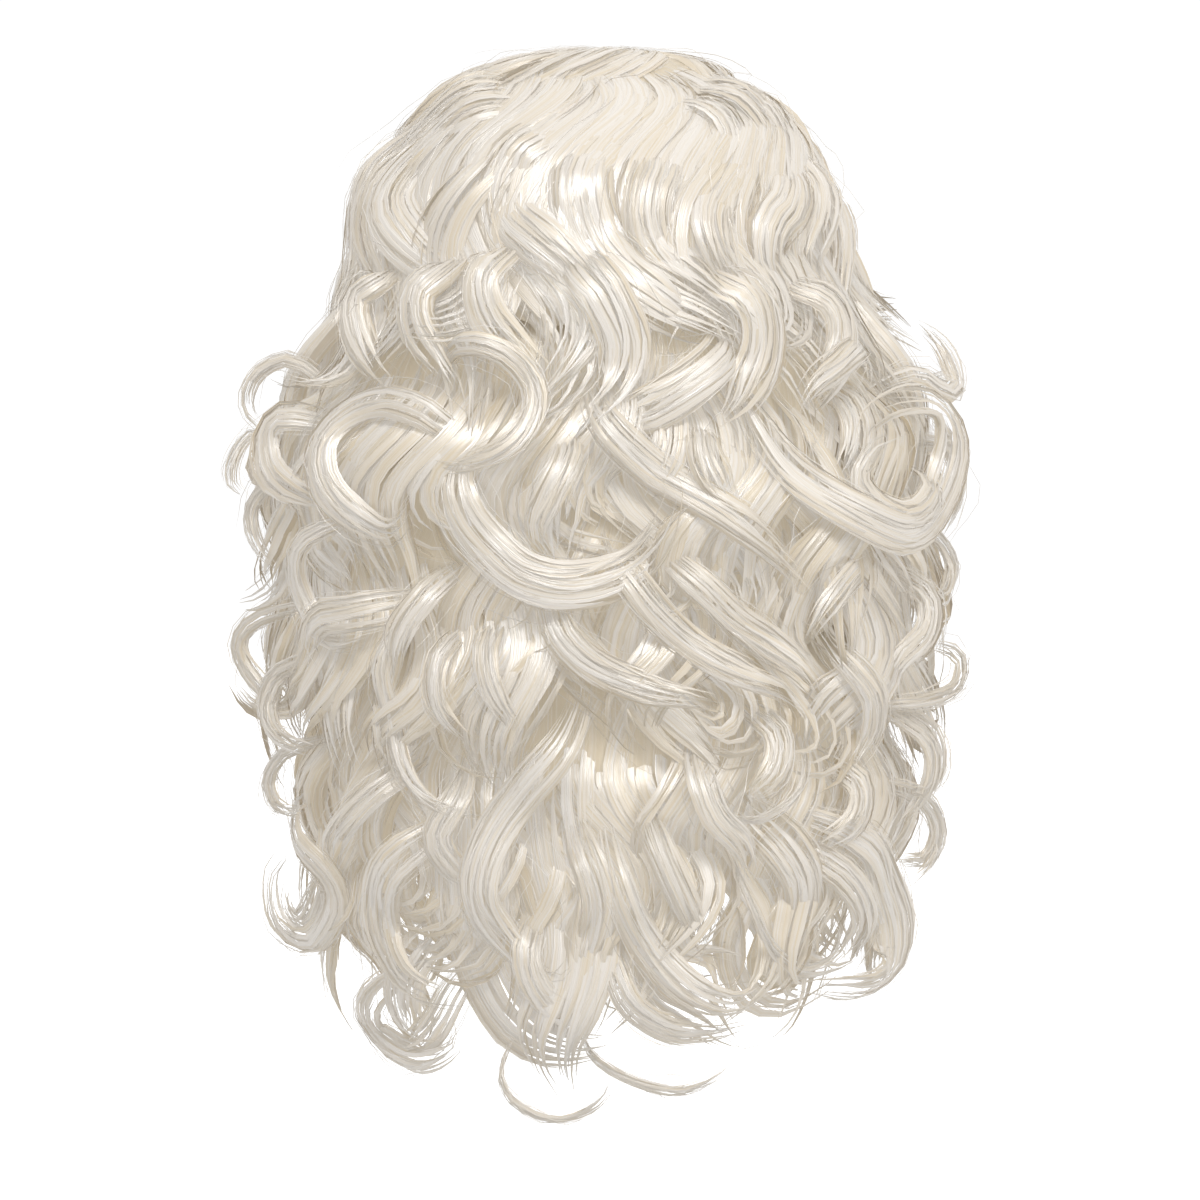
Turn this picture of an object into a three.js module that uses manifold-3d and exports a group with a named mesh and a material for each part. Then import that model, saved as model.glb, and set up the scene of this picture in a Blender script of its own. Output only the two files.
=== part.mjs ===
// Retro costume wig: a fitted hollow cap that carries wefts of long, loosely curled pale hair.
// The crown hair waves down from a whorl behind the top of the head. Three tiers of curls hang below it,
// and a parted front falls to each side of the face. Every weft is one solid: a layer of combed hair with
// its locks fused to it.
// Millimetres, +Z up. The origin is where the top of the head meets the inside of the cap. The face looks
// along -Y, so the back of the head is at +Y, and azimuths are measured from the back, towards +X.
import * as THREE from "three";
import { mergeVertices } from "three/addons/utils/BufferGeometryUtils.js";
import Module from "manifold-3d";

const wasm = await Module();
wasm.setup();

// The head that the cap fits, and the cap's knitted wall.
const HEAD_HALF_WIDTH = 76;
const HEAD_HALF_LENGTH = 97;
const HEAD_HALF_HEIGHT = 105;
const CAP_WALL = 1.6;
const CAP_AZIMUTHS = 24;
const CAP_ROWS = 6;

// Air between two pieces, and between the hair's near ring and the cap, where both are faceted.
const PIECE_GAP = 0.35;
const HAIR_CLEARANCE = 2.9;

// The cap's edge, as the angle from the top of the head at each azimuth: low at the nape, arched over the
// ear, down again in front of it, and high on the forehead.
const CAP_EDGE = [
  { azimuth: 0, polar: 124 },
  { azimuth: 35, polar: 121 },
  { azimuth: 66, polar: 108 },
  { azimuth: 92, polar: 88 },
  { azimuth: 118, polar: 95 },
  { azimuth: 148, polar: 74 },
  { azimuth: 180, polar: 66 },
];

// Sections down the hair, from the whorl to the ends. The near ring lies on the cap or, below it, clear of
// the neck. The far ring is the hair's outer face, and its middle lies shift behind the origin.
const CAP_SECTIONS = 4;
const CAP_SECTION_STEP = 22;
const SECTIONS = [
  { near: capRing(0), far: ring(25, 0, 0, 0), shift: 32 },
  { near: capRing(CAP_SECTION_STEP), far: ring(16, 51, 43, 66), shift: 20 },
  { near: capRing(2 * CAP_SECTION_STEP), far: ring(-9, 80, 83, 87), shift: 9 },
  { near: capRing(3 * CAP_SECTION_STEP), far: ring(-46, 99, 114, 100), shift: 3 },
  { near: capRing(4 * CAP_SECTION_STEP), far: ring(-88, 111, 129, 104), shift: 0 },
  { near: ring(-128, 79, 97, 90), far: ring(-126, 127, 135, 105), shift: 0 },
  { near: ring(-165, 80, 93, 86), far: ring(-163, 137, 137, 105), shift: 0 },
  { near: ring(-208, 84, 90, 84), far: ring(-206, 138, 136, 104), shift: 0 },
  { near: ring(-252, 88, 89, 82), far: ring(-251, 135, 132, 101), shift: 0 },
  { near: ring(-297, 88, 87, 78), far: ring(-297, 131, 128, 97), shift: 0 },
  { near: ring(-342, 84, 83, 74), far: ring(-342, 119, 121, 92), shift: 0 },
  { near: ring(-388, 76, 78, 70), far: ring(-388, 98, 108, 84), shift: 0 },
];

// How each tier's combed layer lies between the near ring (0) and the far ring (1), down the rows of
// SECTIONS.
const CROWN_LAYER = [
  { row: 0, inner: 0, outer: 0.8 },
  { row: 2.1, inner: 0, outer: 0.82 },
  { row: 3, inner: 0.62, outer: 0.86 },
  { row: 4, inner: 0.8, outer: 0.92 },
  { row: 4.9, inner: 0.85, outer: 0.96 },
];
const FRONT_LAYER = [
  { row: 1.8, inner: 0, outer: 0.82 },
  { row: 2.4, inner: 0, outer: 0.84 },
  { row: 3, inner: 0.1, outer: 0.74 },
  { row: 5, inner: 0.3, outer: 0.9 },
];
const UPPER_LAYER = [
  { row: 2.35, inner: 0, outer: 0.32 },
  { row: 3.1, inner: 0.25, outer: 0.45 },
  { row: 4.2, inner: 0.45, outer: 0.66 },
  { row: 4.9, inner: 0.6, outer: 0.8 },
  { row: 5.4, inner: 0.68, outer: 0.9 },
  { row: 6.2, inner: 0.78, outer: 0.92 },
];
const MIDDLE_LAYER = [
  { row: 3.3, inner: 0, outer: 0.2 },
  { row: 4.3, inner: 0.14, outer: 0.3 },
  { row: 5.4, inner: 0.3, outer: 0.5 },
  { row: 6.2, inner: 0.5, outer: 0.72 },
  { row: 6.8, inner: 0.6, outer: 0.86 },
  { row: 8.2, inner: 0.72, outer: 0.89 },
];
const LOWER_LAYER = [
  { row: 4.25, inner: 0, outer: 0.11 },
  { row: 5.4, inner: 0.06, outer: 0.2 },
  { row: 7, inner: 0.25, outer: 0.42 },
  { row: 8.2, inner: 0.42, outer: 0.66 },
  { row: 8.8, inner: 0.48, outer: 0.82 },
  { row: 10.2, inner: 0.55, outer: 0.82 },
];

// The row where each layer ends, and how far its scalloped hem rises and falls. The crown ends at the
// hairline in front, and over the first curls behind.
const CROWN_END = [
  { azimuth: 0, row: 4.7 },
  { azimuth: 100, row: 4.6 },
  { azimuth: 118, row: 3.6 },
  { azimuth: 131, row: 1.7 },
];
const FRONT_END = [{ azimuth: 0, row: 2.9 }];
const UPPER_END = [{ azimuth: 0, row: 6.1 }];
const MIDDLE_END = [{ azimuth: 0, row: 8 }];
const LOWER_END = [{ azimuth: 0, row: 10 }];
const HEM_RISE = 0.18;
const HEM_WAVES = 8;

// One row for each lock. It starts on its tier's layer at an azimuth and a row, and runs for length.
// Headings are angles from straight down, towards +X: it sets off at start and turns to end between
// turnFrom and turnTo, as shares of its length. It sways by sway each way, ripples off the layer by ripple,
// in so many waves from phase, and rolls off the layer by flip along the turn. Rise is how far its end
// stands off the layer.
const CROWN_STYLE = {
  row: 0.45, length: 205, start: 0, end: 0, turnFrom: 0.6, turnTo: 1, sway: 36, ripple: 14, waves: 1.7,
  phase: 0.1, flip: 0, rise: 3, width: 42, thick: 13,
};
const CROWN_LOCKS = [
  { azimuth: -117, length: 190, start: 12 },
  { azimuth: -98, length: 195, end: 40, flip: 20 },
  { azimuth: -80, length: 232, turnFrom: 0.8, flip: 110 },
  { azimuth: -62, length: 205, end: -70, flip: 20 },
  { azimuth: -45, length: 208 },
  { azimuth: -28, length: 200, end: 50 },
  { azimuth: -11, length: 212 },
  { azimuth: 6, length: 205, end: -80, flip: 20 },
  { azimuth: 23, length: 212 },
  { azimuth: 41, length: 200, end: 60, flip: 20 },
  { azimuth: 60, length: 204 },
  { azimuth: 79, length: 232, turnFrom: 0.8, flip: 110 },
  { azimuth: 98, length: 195 },
  { azimuth: 117, length: 190, start: -12 },
];

const FRONT_STYLE = {
  row: 2, length: 300, start: -75, end: 0, turnFrom: 0.05, turnTo: 0.45, sway: 26, ripple: 18, waves: 2.6,
  phase: 0, flip: 0, rise: 6, width: 36, thick: 12,
};
const FRONT_LOCKS = [
  { azimuth: 172, row: 2.0, length: 325 },
  { azimuth: 170, row: 2.5, length: 295, phase: 0.3 },
  { azimuth: 154, row: 2.75, length: 262, start: -45, phase: 0.55 },
];

const UPPER_STYLE = {
  row: 5, length: 100, start: 0, end: 0, turnFrom: 0.3, turnTo: 1, sway: 30, ripple: 20, waves: 1.1,
  phase: 0, flip: 0, rise: 6, width: 34, thick: 13,
};
const UPPER_LOCKS = [
  { azimuth: 114, length: 105, end: 30 },
  { azimuth: 90, row: 4.7, length: 88, flip: 215, sway: 10, width: 20, thick: 9 },
  { azimuth: 74, row: 5.2, length: 92, end: 60, flip: 40 },
  { azimuth: 56, length: 105, end: -50 },
  {
    azimuth: 31, row: 5.3, length: 92, start: -135, end: 110, turnFrom: 0, sway: 0, rise: 12,
    width: 20, thick: 9,
  },
  { azimuth: 30, row: 5.35, length: 108, start: 100, end: -125, turnFrom: 0, sway: 0, rise: 10, width: 25 },
  { azimuth: 23, row: 5.6, length: 118, start: 15, end: -155, turnFrom: 0.15, sway: 0, width: 36 },
  { azimuth: -4, length: 85, start: 35, end: -10, sway: 10 },
  { azimuth: -18, length: 100, start: -20, end: 20 },
  { azimuth: -29, row: 5.2, length: 158, start: -20, end: -400, turnFrom: 0.1, sway: 0, rise: 14, width: 27 },
  { azimuth: -74, length: 100, end: -50, flip: 40 },
  { azimuth: -88, row: 4.4, length: 88, flip: 240, sway: 10, width: 20, thick: 9 },
  { azimuth: -94, row: 5.1, length: 84, flip: 220, sway: 10, width: 20, thick: 9 },
  { azimuth: -114, length: 105, end: -30 },
];

const MIDDLE_STYLE = {
  row: 6.4, length: 110, start: 0, end: 0, turnFrom: 0.35, turnTo: 1, sway: 34, ripple: 22, waves: 1.2,
  phase: 0.2, flip: 0, rise: 5, width: 34, thick: 13,
};
const MIDDLE_LOCKS = [
  { azimuth: 113, length: 105 },
  { azimuth: 92, row: 6.2, length: 86, flip: 215, sway: 10, width: 20, thick: 9 },
  { azimuth: 78, row: 7, length: 86, flip: 160, sway: 20, width: 24, thick: 10 },
  { azimuth: 58, length: 115, end: -60 },
  { azimuth: 38, row: 6.9, length: 125, start: 5, end: -125, sway: 0, turnFrom: 0.35, width: 20, rise: 9 },
  { azimuth: 17, length: 115, sway: 28, phase: 0.5 },
  { azimuth: -5, row: 6.7, length: 115, start: -55, end: -5, sway: 12, turnFrom: 0.1, width: 36, rise: 9 },
  { azimuth: -26, length: 110, start: -30, end: 30 },
  { azimuth: -50, length: 115, end: 50, phase: 0.6 },
  { azimuth: -72, length: 110, end: -50, flip: 10 },
  { azimuth: -90, row: 6.5, length: 82, flip: 240, sway: 10, width: 22, thick: 9 },
  { azimuth: -113, length: 105 },
];

const LOWER_STYLE = {
  row: 8.4, length: 120, start: 0, end: 0, turnFrom: 0.4, turnTo: 1, sway: 32, ripple: 24, waves: 1.2,
  phase: 0, flip: 0, rise: 3, width: 34, thick: 14,
};
const LOWER_LOCKS = [
  { azimuth: 98, length: 95, end: 40 },
  { azimuth: 78, row: 8.3, length: 108, sway: 14, end: -40, flip: 190, turnFrom: 0.5, width: 34, thick: 11 },
  { azimuth: 48, row: 8.9, length: 162, start: 8, end: -175, turnFrom: 0.5, sway: 10, width: 36 },
  { azimuth: 25, row: 8.8, length: 140, start: -6, end: -130, turnFrom: 0.55, sway: 18 },
  { azimuth: 9, row: 8.8, length: 132, sway: 20, phase: 0.5 },
  { azimuth: -4, row: 8.9, length: 172, end: -170, sway: 8, turnFrom: 0.5, width: 36 },
  { azimuth: -32, row: 9.4, length: 150, start: -84, end: 150, sway: 0, turnFrom: 0.1, width: 36, rise: 9 },
  { azimuth: -50, length: 105, sway: 26, end: 30 },
  { azimuth: -72, length: 100, sway: 36, end: 80 },
  { azimuth: -98, length: 95, end: -40 },
];

// Each weft: its layer and where that ends, the azimuths that it spans, its locks and the style that they
// share.
const HALF_CIRCLE = 180;
const TEMPLE = 122;
const WEFTS = [
  {
    name: "crown_weft", layer: CROWN_LAYER, ends: CROWN_END, from: -HALF_CIRCLE, to: HALF_CIRCLE,
    locks: CROWN_LOCKS, style: CROWN_STYLE,
  },
  {
    name: "front_weft_left", layer: FRONT_LAYER, ends: FRONT_END, from: 126, to: 179.7,
    locks: FRONT_LOCKS, style: FRONT_STYLE,
  },
  {
    name: "front_weft_right", layer: FRONT_LAYER, ends: FRONT_END, from: -179.7, to: -126,
    locks: FRONT_LOCKS.map((lock) => mirrored({ ...FRONT_STYLE, ...lock })), style: FRONT_STYLE,
  },
  {
    name: "upper_weft", layer: UPPER_LAYER, ends: UPPER_END, from: -TEMPLE, to: TEMPLE,
    locks: UPPER_LOCKS, style: UPPER_STYLE,
  },
  {
    name: "middle_weft", layer: MIDDLE_LAYER, ends: MIDDLE_END, from: -TEMPLE, to: TEMPLE,
    locks: MIDDLE_LOCKS, style: MIDDLE_STYLE,
  },
  {
    name: "lower_weft", layer: LOWER_LAYER, ends: LOWER_END, from: -108, to: 108,
    locks: LOWER_LOCKS, style: LOWER_STYLE,
  },
];

// How finely the layers and the locks are faceted, the length of a row where rows are shortest, and how
// narrow a lock is at its root and its tip.
const LAYER_STEP_DEGREES = 17;
const LAYER_STEP_ROWS = 0.8;
const ROW_LENGTH = 36;
const WALK_STEP = 4;
const LOCK_STEP = 29;
const LOCK_BEND = THREE.MathUtils.degToRad(47);
const ROOT_SHARE = 0.55;
const TIP_SHARE = 0.42;

// A lock's section, in halves of its width and its thickness: flat underneath, and crowned on top.
const LOCK_SECTION = [
  { edge: 1, flat: -0.6 },
  { edge: -1, flat: -0.6 },
  { edge: -0.5, flat: 1 },
  { edge: 0.5, flat: 1 },
];

// A ring of the hair: its height, half width, and reach behind and in front of its middle.
function ring(z, half, back, front) {
  return { z, half, back, front };
}

function capRing(polarDegrees) {
  const polar = THREE.MathUtils.degToRad(polarDegrees);
  const off = CAP_WALL + HAIR_CLEARANCE;
  const reach = (HEAD_HALF_LENGTH + off) * Math.sin(polar);
  const z = (HEAD_HALF_HEIGHT + off) * Math.cos(polar) - HEAD_HALF_HEIGHT;
  return ring(z, (HEAD_HALF_WIDTH + off) * Math.sin(polar), reach, reach);
}

// A lock of the right side from the row of its match on the left.
function mirrored(lock) {
  return { ...lock, azimuth: -lock.azimuth, start: -lock.start, end: -lock.end, sway: -lock.sway };
}

const ease = (share) => THREE.MathUtils.smoothstep(share, 0, 1);

// One column of a table at a place between its rows, eased from row to row.
function readTable(table, key, at, column) {
  const after = table.findIndex((row) => row[key] >= at);
  if (after === 0) return table[0][column];
  if (after < 0) return table.at(-1)[column];
  const low = table[after - 1];
  const high = table[after];
  return THREE.MathUtils.lerp(low[column], high[column], ease((at - low[key]) / (high[key] - low[key])));
}

// A ring between two sections, on a smooth curve through the rows. Past the last row it carries on
// straight.
function ringAt(row, side) {
  if (side === "near" && row < CAP_SECTIONS) return capRing(row * CAP_SECTION_STEP);
  const last = SECTIONS.length - 1;
  const low = THREE.MathUtils.clamp(Math.floor(row), 0, last - 1);
  const share = row - low;
  const through = (key) => {
    const at = (index) => SECTIONS[THREE.MathUtils.clamp(index, 0, last)][side][key];
    const [before, here, next, after] = [at(low - 1), at(low), at(low + 1), at(low + 2)];
    if (share > 1) return next + (next - here) * (share - 1);
    const slopeHere = (next - before) / 2;
    const slopeNext = (after - here) / 2;
    const bend = 3 * (next - here) - 2 * slopeHere - slopeNext;
    const twist = slopeHere + slopeNext - 2 * (next - here);
    return here + share * (slopeHere + share * (bend + share * twist));
  };
  return ring(through("z"), through("half"), through("back"), through("front"));
}

function ringPoint(at, azimuth, shift) {
  const reach = Math.cos(azimuth) > 0 ? at.back : at.front;
  return new THREE.Vector3(at.half * Math.sin(azimuth), shift + reach * Math.cos(azimuth), at.z);
}

// The point at an azimuth, a row and a depth between the near ring (0) and the far ring (1).
function hairPoint(azimuth, row, depth) {
  const low = THREE.MathUtils.clamp(Math.floor(row), 0, SECTIONS.length - 2);
  const share = THREE.MathUtils.clamp(row - low, 0, 1);
  const shift = THREE.MathUtils.lerp(SECTIONS[low].shift, SECTIONS[low + 1].shift, share);
  const near = ringPoint(ringAt(row, "near"), azimuth, 0);
  const far = ringPoint(ringAt(row, "far"), azimuth, shift);
  return near.lerp(far, depth);
}

// The layer's outer face, with its unit vectors down, sideways and outwards, and their lengths per row and
// radian.
function layerFrame(layer, azimuth, row) {
  const face = (a, r) => hairPoint(a, r, readTable(layer, "row", r, "outer"));
  const small = 0.02;
  const down = face(azimuth, row + small).sub(face(azimuth, Math.max(row - small, 0)));
  const side = face(azimuth + small, row).sub(face(azimuth - small, row));
  const perRow = down.length() / (row + small - Math.max(row - small, 0));
  const perRadian = side.length() / (2 * small);
  down.normalize();
  const outwards = side.normalize().clone().cross(down).normalize();
  return { point: face(azimuth, row), down, side, outwards, perRow, perRadian };
}

// Walks a lock down its layer in small steps. It keeps a station wherever the lock has bent or run far
// enough.
function walkLock(lock, layer) {
  const steps = Math.round(lock.length / WALK_STEP);
  const stride = lock.length / steps;
  const stations = [];
  let azimuth = THREE.MathUtils.degToRad(lock.azimuth);
  let row = lock.row;
  let lift = 0;
  let kept = { heading: 0, pitch: 0, share: -1 };
  for (let i = 0; i <= steps; i++) {
    const share = i / steps;
    const turn = ease((share - lock.turnFrom) / (lock.turnTo - lock.turnFrom));
    const wave = 2 * Math.PI * (lock.waves * share + lock.phase);
    const grown = 0.5 + 0.5 * ease(share / 0.5);
    const swayed = lock.sway * Math.sin(wave) * grown;
    const heading = THREE.MathUtils.degToRad(lock.start + (lock.end - lock.start) * turn + swayed);
    const pitch = THREE.MathUtils.degToRad(lock.ripple * Math.cos(wave) * grown + lock.flip * turn);
    const frame = layerFrame(layer, azimuth, row);
    const bent = Math.abs(heading - kept.heading) + Math.abs(pitch - kept.pitch);
    const far = (share - kept.share) * lock.length > LOCK_STEP;
    if (i === 0 || i === steps || bent > LOCK_BEND || far) {
      stations.push(station(frame, heading, pitch, lift + lock.rise * ease(share), share));
      kept = { heading, pitch, share };
    }
    azimuth += (Math.cos(pitch) * Math.sin(heading) * stride) / Math.max(frame.perRadian, LOCK_STEP);
    row += (Math.cos(pitch) * Math.cos(heading) * stride) / frame.perRow;
    lift = Math.max(lift + Math.sin(pitch) * stride, -0.2 * lock.thick);
  }
  return stations;
}

// A place on a lock, with the directions of its edge and its flat side.
function station(frame, heading, pitch, lift, share) {
  const along = frame.down.clone().multiplyScalar(Math.cos(heading));
  along.addScaledVector(frame.side, Math.sin(heading));
  const edge = frame.side.clone().multiplyScalar(Math.cos(heading));
  edge.addScaledVector(frame.down, -Math.sin(heading));
  const flat = frame.outwards.clone().multiplyScalar(Math.cos(pitch)).addScaledVector(along, -Math.sin(pitch));
  const point = frame.point.clone().addScaledVector(frame.outwards, lift);
  return { point, edge, flat, share };
}

// A closed solid through rings of points, each ring turning right-handed about the way it is carried along.
function loft(rings, closed) {
  const sides = rings[0].length;
  const spans = closed ? rings.length : rings.length - 1;
  const faces = [];
  for (let i = 0; i < spans; i++) {
    const next = (i + 1) % rings.length;
    for (let k = 0; k < sides; k++) {
      const after = (k + 1) % sides;
      const [a, b] = [i * sides + k, i * sides + after];
      const [c, d] = [next * sides + after, next * sides + k];
      faces.push(a, b, c, a, c, d);
    }
  }
  const end = (rings.length - 1) * sides;
  for (let k = 0; !closed && k < sides / 2 - 1; k++) {
    const [a, b, c, d] = [k, k + 1, sides - 2 - k, sides - 1 - k];
    faces.push(a, c, b, a, d, c);
    faces.push(end + a, end + b, end + c, end + a, end + c, end + d);
  }
  const places = new Float32Array(rings.flat().flatMap((p) => p.toArray()));
  const geometry = new THREE.BufferGeometry();
  geometry.setAttribute("position", new THREE.BufferAttribute(places, 3));
  geometry.setIndex(faces);
  return geometry;
}

function toSolid(geometry) {
  const merged = mergeVertices(geometry, 1e-3);
  const index = merged.index.array;
  const kept = [];
  for (let i = 0; i < index.length; i += 3) {
    const [a, b, c] = index.slice(i, i + 3);
    if (a !== b && b !== c && c !== a) kept.push(a, b, c);
  }
  const vertProperties = new Float32Array(merged.attributes.position.array);
  return new wasm.Manifold(new wasm.Mesh({ numProp: 3, vertProperties, triVerts: new Uint32Array(kept) }));
}

function toGeometry(solid) {
  const mesh = solid.getMesh();
  const geometry = new THREE.BufferGeometry();
  geometry.setAttribute("position", new THREE.BufferAttribute(new Float32Array(mesh.vertProperties), 3));
  geometry.setIndex(new THREE.BufferAttribute(new Uint32Array(mesh.triVerts), 1));
  return geometry.toNonIndexed();
}

const largest = (solid) => solid.decompose().sort((a, b) => b.volume() - a.volume())[0];

// One lock as a solid: flat sections that swell from the root and taper to the tip. Grown adds to its
// outside.
function lockSolid(lock, layer, grown) {
  const rings = walkLock(lock, layer).map(({ point, edge, flat, share }) => {
    const taper = Math.min(ROOT_SHARE + 4 * share, 1, TIP_SHARE + 2.2 * (1 - share));
    const across = (lock.width / 2) * taper + grown;
    const through = (lock.thick / 2) * taper + grown;
    const onwards = flat.clone().cross(edge).multiplyScalar(Math.sign(share - 0.5) * grown);
    return LOCK_SECTION.map((corner) => {
      const place = point.clone().add(onwards).addScaledVector(edge, across * corner.edge);
      return place.addScaledVector(flat, through * corner.flat);
    });
  });
  return toSolid(loft(rings, false));
}

// The combed layer of a weft, carried round from azimuth to azimuth.
function layerSolid(weft, grown) {
  const { layer, ends } = weft;
  const whole = weft.to - weft.from === 2 * HALF_CIRCLE;
  const from = whole ? weft.from : weft.from - grown;
  const to = whole ? weft.to : weft.to + grown;
  const spans = Math.ceil((weft.to - weft.from) / LAYER_STEP_DEGREES);
  const rowFrom = Math.max(layer[0].row - grown / ROW_LENGTH, 0);
  const rows = Math.ceil((ends[0].row - layer[0].row) / LAYER_STEP_ROWS);
  const rings = Array.from({ length: whole ? spans : spans + 1 }, (_, i) => {
    const degrees = from + ((to - from) * i) / spans;
    const azimuth = THREE.MathUtils.degToRad(degrees);
    const hem = readTable(ends, "azimuth", Math.abs(degrees), "row") + HEM_RISE * Math.sin(HEM_WAVES * azimuth);
    const rowTo = hem + grown / ROW_LENGTH;
    const outer = [];
    const inner = [];
    for (let j = 0; j <= rows; j++) {
      const row = rowFrom + ((rowTo - rowFrom) * j) / rows;
      const more = grown / hairPoint(azimuth, row, 1).distanceTo(hairPoint(azimuth, row, 0));
      outer.unshift(hairPoint(azimuth, row, readTable(layer, "row", row, "outer") + more));
      inner.push(hairPoint(azimuth, row, readTable(layer, "row", row, "inner") - more));
    }
    return [...inner, ...outer];
  });
  return toSolid(loft(rings, whole));
}

function weftSolid(weft, grown) {
  const locks = weft.locks.map((lock) => lockSolid({ ...weft.style, ...lock }, weft.layer, grown));
  return locks.reduce((sum, lock) => sum.add(lock), layerSolid(weft, grown));
}

// The cap: the head's dome out to its edge, and the same dome a wall further out.
function capSolid() {
  const dome = (azimuth, polar, off) =>
    new THREE.Vector3(
      (HEAD_HALF_WIDTH + off) * Math.sin(polar) * Math.sin(azimuth),
      (HEAD_HALF_LENGTH + off) * Math.sin(polar) * Math.cos(azimuth),
      (HEAD_HALF_HEIGHT + off) * Math.cos(polar) - HEAD_HALF_HEIGHT,
    );
  const polars = Array.from({ length: CAP_ROWS + 1 }, (_, j) => j / CAP_ROWS);
  const rings = Array.from({ length: CAP_AZIMUTHS }, (_, i) => {
    const degrees = -HALF_CIRCLE + (2 * HALF_CIRCLE * i) / CAP_AZIMUTHS;
    const edge = THREE.MathUtils.degToRad(readTable(CAP_EDGE, "azimuth", Math.abs(degrees), "polar"));
    const azimuth = THREE.MathUtils.degToRad(degrees);
    const outer = polars.map((share) => dome(azimuth, edge * share, CAP_WALL));
    const inner = polars.map((share) => dome(azimuth, edge * share, 0));
    return [...inner, ...outer.reverse()];
  });
  return toSolid(loft(rings, true));
}

// Matt knitted net, and glossy cream fibre.
const CAP_FINISH = { color: "#d9cfbc", roughness: 0.9, metalness: 0 };
const HAIR_FINISH = { color: "#e9e2d4", roughness: 0.38, metalness: 0 };

function named(name, solid, finish) {
  const mesh = new THREE.Mesh(toGeometry(solid), new THREE.MeshStandardMaterial(finish));
  mesh.name = name;
  return mesh;
}

const wig = new THREE.Group();
wig.add(named("cap", capSolid(), CAP_FINISH));

// The outer wefts come first. Each one after them is cut back from those that lie over it.
const over = [];
for (const weft of WEFTS) {
  let solid = weftSolid(weft, 0);
  for (const cover of over) {
    if (cover.intersect(solid).volume() > 0) solid = solid.subtract(cover);
  }
  solid = largest(solid);
  wig.add(named(weft.name, solid, HAIR_FINISH));
  over.push(weftSolid(weft, PIECE_GAP).add(solid));
}

export default wig;
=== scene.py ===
import math

import bpy
import numpy as np
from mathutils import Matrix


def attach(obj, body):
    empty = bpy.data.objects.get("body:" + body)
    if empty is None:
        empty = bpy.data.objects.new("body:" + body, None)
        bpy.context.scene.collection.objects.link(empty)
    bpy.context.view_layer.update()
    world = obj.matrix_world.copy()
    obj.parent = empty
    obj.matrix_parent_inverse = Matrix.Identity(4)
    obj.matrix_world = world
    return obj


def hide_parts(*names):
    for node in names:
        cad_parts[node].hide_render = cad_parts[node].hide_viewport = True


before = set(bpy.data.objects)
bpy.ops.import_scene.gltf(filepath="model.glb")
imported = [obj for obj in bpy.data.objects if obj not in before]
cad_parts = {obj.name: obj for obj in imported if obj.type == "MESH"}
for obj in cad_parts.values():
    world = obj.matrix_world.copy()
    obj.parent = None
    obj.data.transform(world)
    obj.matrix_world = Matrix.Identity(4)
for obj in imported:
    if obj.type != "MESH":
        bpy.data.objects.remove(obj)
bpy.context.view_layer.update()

# Cap: a fitted cap of fine beige elastic net that grips the head and carries every weft.
# It is knitted in the round and cut to the hairline, and its edge is turned over and sewn as a soft band.
# Sizes are in millimetres up to the studio, and become metres where a mesh or a material is made.
MM = 0.001
HEAD_HALF_WIDTH = 76
HEAD_HALF_LENGTH = 97
HEAD_HALF_HEIGHT = 105
CAP_WALL = 1.6
CAP_EDGE = ((0, 124), (35, 121), (66, 108), (92, 88), (118, 95), (148, 74), (180, 66))
CAP_AZIMUTHS = 96
CAP_ROWS = 32
BAND_HEIGHT = 9
BAND_SWELL = 0.6
BAND_SLOPE = 2.5
EDGE_LENGTH = 1.2
EDGE_ROUND_OUTSIDE = 0.8
EDGE_ROUND_INSIDE = 0.3
KNIT_WALES = 300
KNIT_COURSE = 1.4
KNIT_RELIEF = 0.5
KNIT_SLANT = 0.9
FUZZ_SCALE = 900.0
NET_ROUGHNESS = 0.75
NET_SHEEN = 0.25
# The net's beige, and the darker beige painted as shade into the holes between its loops.
NET_PALE = (0.62, 0.52, 0.38, 1)
NET_HOLE_SHADE = (0.40, 0.31, 0.20, 1)


def ease(share):
    share = min(max(share, 0), 1)
    return share * share * (3 - 2 * share)


def read_table(table, at, column=1):
    """One column of a table at a place between its rows, eased from row to row."""
    if at <= table[0][0]:
        return table[0][column]
    for low, high in zip(table, table[1:]):
        if at <= high[0]:
            share = ease((at - low[0]) / (high[0] - low[0]))
            return low[column] + (high[column] - low[column]) * share
    return table[-1][column]


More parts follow.
